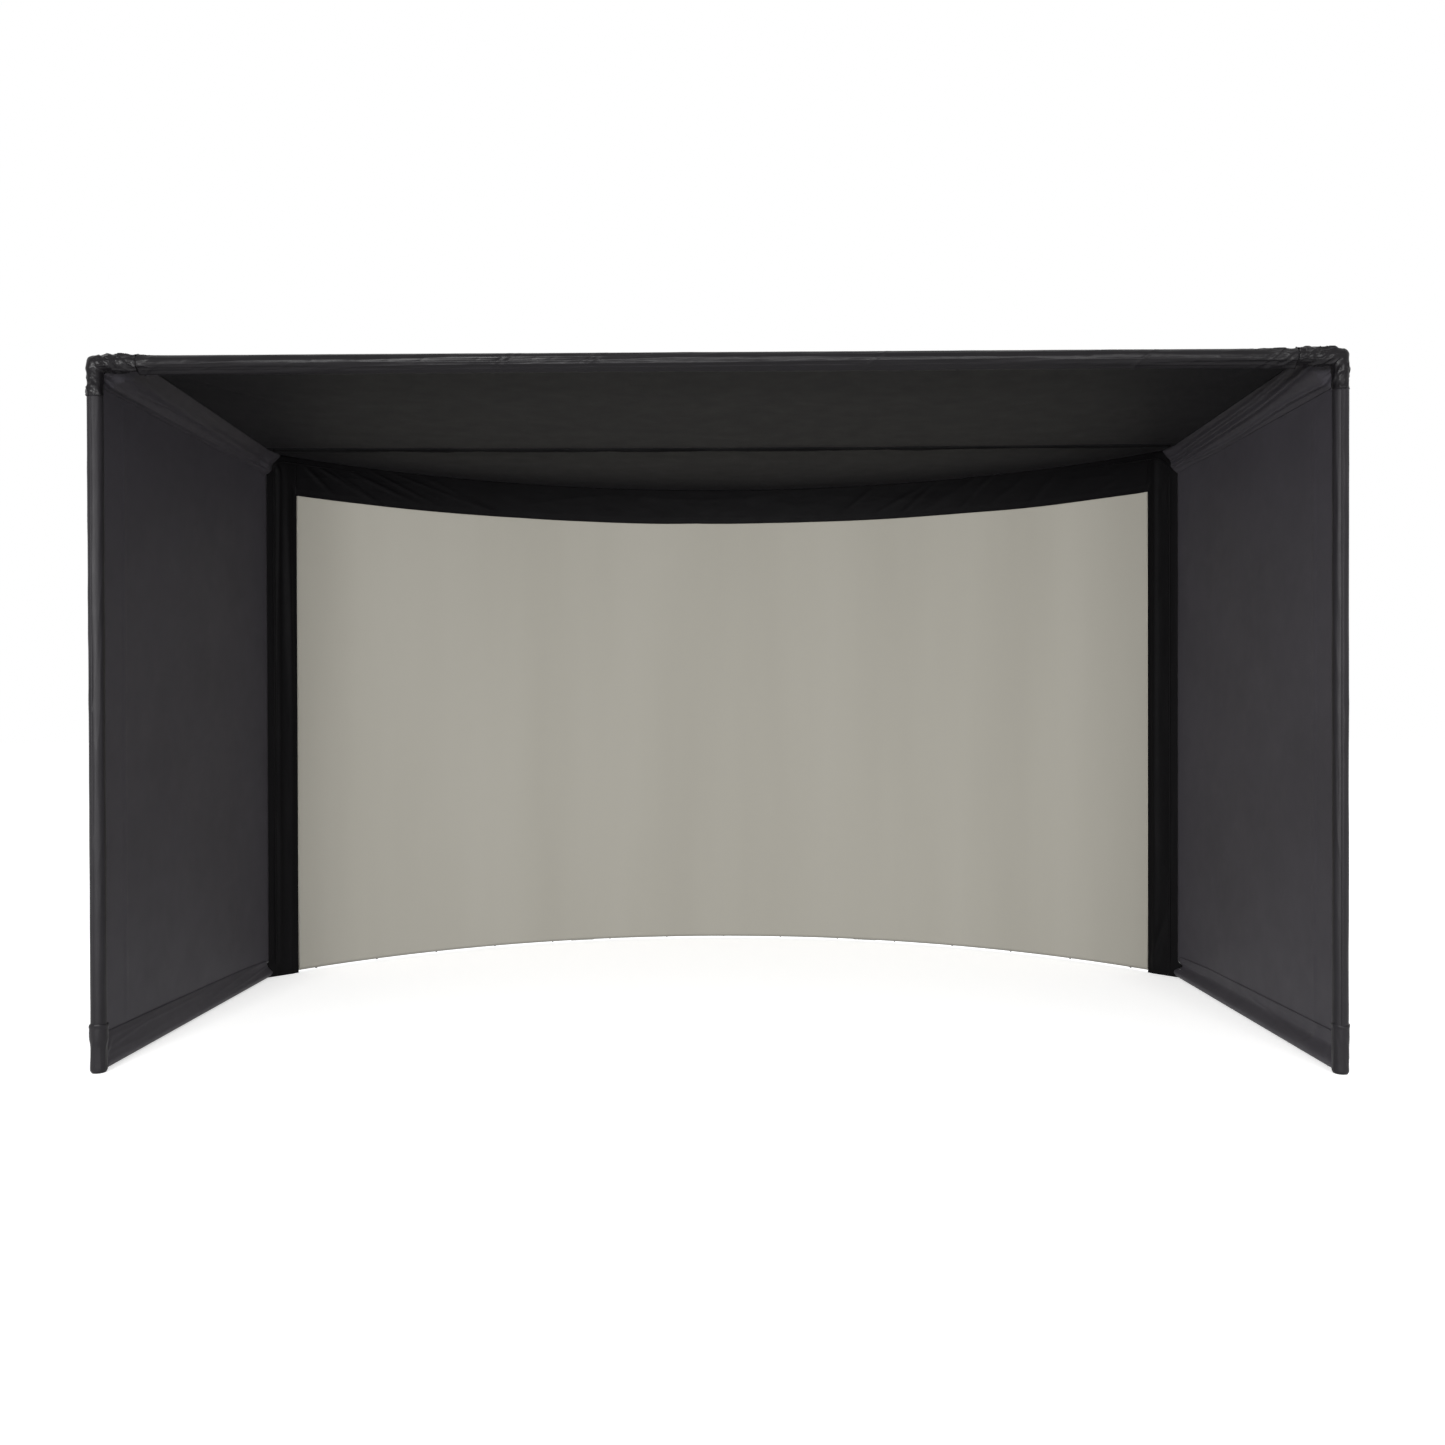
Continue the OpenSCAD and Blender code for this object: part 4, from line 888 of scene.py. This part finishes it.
def side_border(name, s):
    """From the tape beside the screen to the crease at the wall, with loose upright folds."""
    d = np.concatenate([spread(0, TAPE_W, 4), spread(TAPE_W, BORDER_W, 44)[1:]])[None, :]
    z = spread(0.0008, ROOF - 0.0004, 320)[:, None]
    share = d / BORDER_W
    free = ease((z - BORDER_Z - 0.02) / 0.03)
    off = TAPE_OFF + (FLAP_OFF - TAPE_OFF) * np.maximum(ease((d - TAPE_W) / 0.02), free)
    loose = np.sin(math.pi * share) ** 0.7 * ease(z / 0.05) * ease((ROOF - z) / 0.05)
    fold = 0.003 * ridges(share * 1.8 + 0.15 * z, z * 0.8, 121 + s)
    fold = fold + 0.0025 * crumple(z * 2.5, share * 2, 122 + s)
    if s < 0:
        fold = fold + 0.012 * bump(share - 0.22 - 0.16 * (z - 1.5), 0.12) * bump(z - 1.75, 0.45)
        fold = fold + 0.004 * bump(share - 0.62, 0.08)
    else:
        fold = fold + 0.006 * bump(share - 0.25, 0.10)
        fold = fold + 0.010 * bump(share - 0.3 - 2.0 * (z - 0.12), 0.14) * bump(z - 0.14, 0.12)
    x, y = border_line(d, loose * fold, off)
    last = ease((d - ARC_END) / (BORDER_W - ARC_END)) * (1 - away_from_pipes(z))
    x, y = x + (WALL_END[0] - CREASE[0]) * last, y + (WALL_END[1] - CREASE[1]) * last
    cloth(f"{name}_border_cloth", joined(s * x, y, z), BORDER_CLOTH, [f"{name}_border"], offset=-s)


def border_roll(name, s):
    """The rolled seam that runs up the side border and bends over into the top border."""
    at, turn, size = {"left": (0.112, 0.050, 0.0036), "right": (0.108, 0.080, 0.0042)}[name]
    top = ROOF - 0.030
    length = 0.42  # of the part that thins out along the top border
    rise = spread(0.004, top - turn, 160)
    bend, run = spread(0, math.pi / 2, 26)[1:], spread(0, length, 50)[1:]
    d = np.concatenate([np.full_like(rise, at), at - turn * (1 - np.cos(bend)), at - turn - run])
    z = np.concatenate([rise, top - turn * (1 - np.sin(bend)), top + run * 0.01])
    d = d + 0.002 * noise(z * 2.2, z * 0, 125)
    taper = np.concatenate([np.ones(len(rise) + len(bend)), 1 - 0.85 * ease(run / length)])
    r = size * taper * (1 + 0.2 * noise(z * 9 + d * 9, z * 0, 126))
    x, y = border_line(d, 0.0015)
    path = np.stack([x, y, z], axis=-1)
    way = np.gradient(path, axis=0)
    way /= np.linalg.norm(way, axis=1)[:, None]
    t = VISIBLE_A + np.minimum(d, ARC_END) / BOW_R
    front = np.stack([-np.sin(t), -np.cos(t), np.zeros_like(t)], axis=-1)
    side = np.cross(way, front)
    phi = np.radians(spread(-96, 96, 15))[None, :, None]
    ring = np.cos(phi) * front[:, None] + 1.2 * np.sin(phi) * side[:, None]
    points = path[:, None] + r[:, None, None] * ring
    points[..., 0] *= s
    cloth(f"{name}_border_roll_cloth", points, BORDER_CLOTH, thickness=0.0010, offset=0.0)


def screen_wave(a, z):
    """The screen's slack: broad upright bands that open towards its lower edge."""
    down = 1 - (z - SCREEN_BOTTOM) / (SCREEN_TOP - SCREEN_BOTTOM)
    waves = 0.0016 * crumple(a * 5.2, z * 0.35, 131) + 0.0008 * noise(a * 16, z * 0.5, 132)
    return waves * ease((SCREEN_A - np.abs(a)) * 8) * ease(down * 4) * (0.5 + down)


def screen():
    """The bowed screen, and beside each side border a narrow hem in the screen's cloth made 1.45 times as
    bright.
    """
    a = spread(-SCREEN_A, SCREEN_A, 460)[None, :]
    z = spread(SCREEN_BOTTOM, SCREEN_TOP, 160)[:, None]
    thick = SHEET - 0.0004
    r = BOW_R - SCREEN_OFF - thick - np.abs(screen_wave(a, z))
    cloth("screen_cloth", on_bow(r, a, z), SCREEN, ["impact_screen"], thickness=thick, offset=-1.0,
          slot="screen_cloth")
    for name, s in SIDES.items():
        ends = sorted((s * (VISIBLE_A - 0.007 / BOW_R), s * (VISIBLE_A + 0.004 / BOW_R)))
        bow_strip(f"screen_hem_{name}", *ends, SCREEN_BOTTOM, BORDER_Z, SCREEN_OFF + SHEET + 0.0006, 0.0008,
                  SCREEN_EDGE, "screen_cloth", steps=4)


def bow_strip(name, a_low, a_high, z_low, z_high, off, thickness, material, slot, replaced=(), steps=300):
    """A strip along the screen, its front off in front of the bow's centre line."""
    a = spread(a_low, a_high, steps)[None, :]
    z = spread(z_low, z_high, 6)[:, None]
    cloth(name, on_bow(BOW_R - off, a, z), material, replaced, thickness=thickness, offset=-1.0,
          slot=slot)


def webbing():
    """The webbing that stiffens the screen's back along its top and sides."""
    front = SCREEN_OFF - 0.0002
    inner = SCREEN_A - WEBBING_W / BOW_R
    low = SCREEN_TOP - WEBBING_W
    look = (WEBBING_THICK, WEBBING, "webbing", ["screen_webbing"])
    bow_strip("webbing_top", -SCREEN_A, SCREEN_A, low, SCREEN_TOP, front, *look)
    for name, s in SIDES.items():
        ends = sorted((s * inner, s * SCREEN_A))
        bow_strip(f"webbing_{name}", *ends, SCREEN_BOTTOM, low - 0.0002, front, *look, 8)


def strap():
    """The anchor strap low on the screen's back: sewn along its upper edge, and free below for the cords."""
    low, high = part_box("screen_bottom_strap")
    reach = math.asin(high[0] / (BOW_R - 0.0155))
    a = spread(-reach, reach, 400)[None, :]
    bend = high[2] - 0.040
    z = np.concatenate([spread(low[2], bend, 8), spread(bend, high[2], 8)[1:]])[:, None]
    back = ease((high[2] - 0.018 - z) / 0.022)
    cloth("strap_cloth", on_bow(BOW_R - 0.0220 + 0.0065 * back, a, z), WEBBING, ["screen_bottom_strap"],
          thickness=WEBBING_THICK, offset=-1.0, slot="webbing")


def tapes():
    """The closed tape that holds the border on the screen's front."""
    off = SCREEN_OFF + SHEET + 0.0030
    high = BORDER_Z + TAPE_W
    look = (TAPE_THICK, HOOK_TAPE, "hook_and_loop", ["hook_and_loop_tape"])
    bow_strip("tape_top", -VISIBLE_A, VISIBLE_A, BORDER_Z, high, off, *look)
    for name, s in SIDES.items():
        ends = sorted((s * (VISIBLE_A + 0.0001), s * (VISIBLE_A + TAPE_W / BOW_R)))
        bow_strip(f"tape_{name}", *ends, SCREEN_BOTTOM, high, off, *look, 5)


# Foam


def foam_tube(name, start, way, length, *replaced):
    """A foam tube with the slit that it is pushed on through."""
    slit = 0.03  # half of its angle
    a = spread(slit, 2 * math.pi - slit, 40)[None, :]
    t = spread(0, length, 60)[:, None]
    side = Vector((0, 1, 0))
    up = Vector(way).cross(side)
    r = FOAM_R - 0.0004 + 0.0002 * crumple(t * 14, a, 141)
    across = (r * np.cos(a))[..., None] * np.array(side) + (r * np.sin(a))[..., None] * np.array(up)
    points = np.array(start) + t[..., None] * np.array(way) + across
    obj = grid_object(name, points)
    thicken(obj, FOAM_R - PIPE_R - 0.0012, -1.0)
    dress(obj, FOAM, "foam", *replaced)


def foam():
    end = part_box("front_top_foam")[1][0]
    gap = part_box("front_top_coupling")[1][0] + 0.0006
    for name, s in SIDES.items():
        foam_tube(f"top_foam_{name}", (s * gap, FRONT, TOP), (s, 0, 0), end - gap, "front_top_foam")
        low, high = (corner[2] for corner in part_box(f"{name}_post_foam"))
        foam_tube(f"post_foam_{name}", (s * HALF, FRONT, low), (0, 0, 1), high - low, f"{name}_post_foam")


# Metal and cord


POSTS = ("front_left_post", "front_right_post", "rear_left_post", "rear_right_post")


def paint_node(node, material):
    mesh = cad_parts[node].data
    mesh.materials.clear()
    mesh.materials.append(material)


def hardware():
    """Materials for the CAD solids that show as they are."""
    pipe = steel("galvanised_pipe", (0.42, 0.43, 0.44), 0.38, 60)
    fitting = steel("zinc_fitting", (0.46, 0.46, 0.45), 0.46, 140)
    screw = steel("black_screw", (0.10, 0.10, 0.105), 0.36, 300)
    eyelet = steel("nickel_eyelet", (0.70, 0.68, 0.62), 0.22, 400)
    cord, ball = braided_cord(), ball_plastic()
    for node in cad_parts:
        if node == "set_screws":
            paint_node(node, screw)
        elif "coupling" in node or node.endswith("corner"):
            paint_node(node, fitting)
        elif "pipe" in node or "_bow_" in node or node in POSTS:
            paint_node(node, pipe)
    paint_node("screen_grommets", eyelet)
    paint_node("bungee_cords", cord)
    paint_node("bungee_balls", ball)


# Floor, light and camera


def stage():
    """A wide floor, just under the feet."""
    mesh = bpy.data.meshes.new("floor")
    shape = bmesh.new()
    bmesh.ops.create_circle(shape, cap_ends=True, segments=96, radius=60)
    shape.to_mesh(mesh)
    shape.free()
    floor = new_object("floor", mesh)
    floor.location.z = -0.001
    floor.data.materials.append(floor_paint())


def area_light(name, at, to, size, power):
    """A white soft box that faces a place, unseen by the camera."""
    data = bpy.data.lights.new(name, "AREA")
    data.shape = "RECTANGLE"
    data.size, data.size_y = size
    data.energy = power
    light = new_object(name, data)
    light.location = at
    light.rotation_euler = (Vector(to) - Vector(at)).to_track_quat("-Z", "Y").to_euler()
    light.visible_camera = False


def sky():
    """White where the camera or a mirror sees it, and a soft grey as light."""
    world = bpy.data.worlds.new("studio")
    bpy.context.scene.world = world
    world.use_nodes = True
    tree = world.node_tree
    plain, white = tree.nodes["Background"], tree.nodes.new("ShaderNodeBackground")
    for node, strength in ((plain, 0.55), (white, 1.0)):
        node.inputs["Color"].default_value = (1, 1, 1, 1)
        node.inputs["Strength"].default_value = strength
    mix = tree.nodes.new("ShaderNodeMixShader")
    tree.links.new(seen_directly(tree), mix.inputs["Fac"])
    tree.links.new(plain.outputs["Background"], mix.inputs[1])
    tree.links.new(white.outputs["Background"], mix.inputs[2])
    tree.links.new(mix.outputs["Shader"], tree.nodes["World Output"].inputs["Surface"])


def lights():
    """Soft boxes on both sides of the camera, the stronger on the left, and one for the back."""
    sky()
    area_light("key", (-2.3, -8.4, 2.1), (0.5, 0.3, 1.3), (2.0, 1.2), 560)
    area_light("fill", (2.6, -8.4, 2.1), (-0.5, 0.3, 1.3), (2.0, 1.2), 300)
    area_light("back", (3.0, 8.5, 5.0), (0.0, 1.0, 1.2), (4.0, 3.0), 520)


def camera():
    """At the photograph's place: square on, a little under half the height, and nearly level."""
    yaw, pitch, roll = -0.0112, 0.0057, -0.0026
    place = (0.0702, FRONT - 4.0531, 1.2095)
    right = Vector((math.cos(yaw), -math.sin(yaw), 0))
    up = Vector((math.sin(pitch) * math.sin(yaw), math.sin(pitch) * math.cos(yaw), math.cos(pitch)))
    right, up = (
        math.cos(roll) * right + math.sin(roll) * up,
        math.cos(roll) * up - math.sin(roll) * right,
    )
    back = right.cross(up)
    data = bpy.data.cameras.new("camera")
    data.sensor_width = 36
    data.lens = 29.83
    data.clip_end = 200
    view = new_object("camera", data)
    turn = Matrix((right, up, back)).transposed().to_4x4()
    view.matrix_world = Matrix.Translation(place) @ turn
    bpy.context.scene.camera = view


camera()
stage()
lights()
bpy.context.scene.view_settings.view_transform = "Standard"

roof()
roof_seam()
seam_tape()
crescent()
rear_hem()
for name, side in SIDES.items():
    for piece in (wall, top_pocket, bottom_pocket, post_sleeve, hood, cuff, side_border, border_roll):
        piece(name, side)
top_sleeve()
top_border()
screen()
webbing()
strap()
tapes()
foam()
hardware()
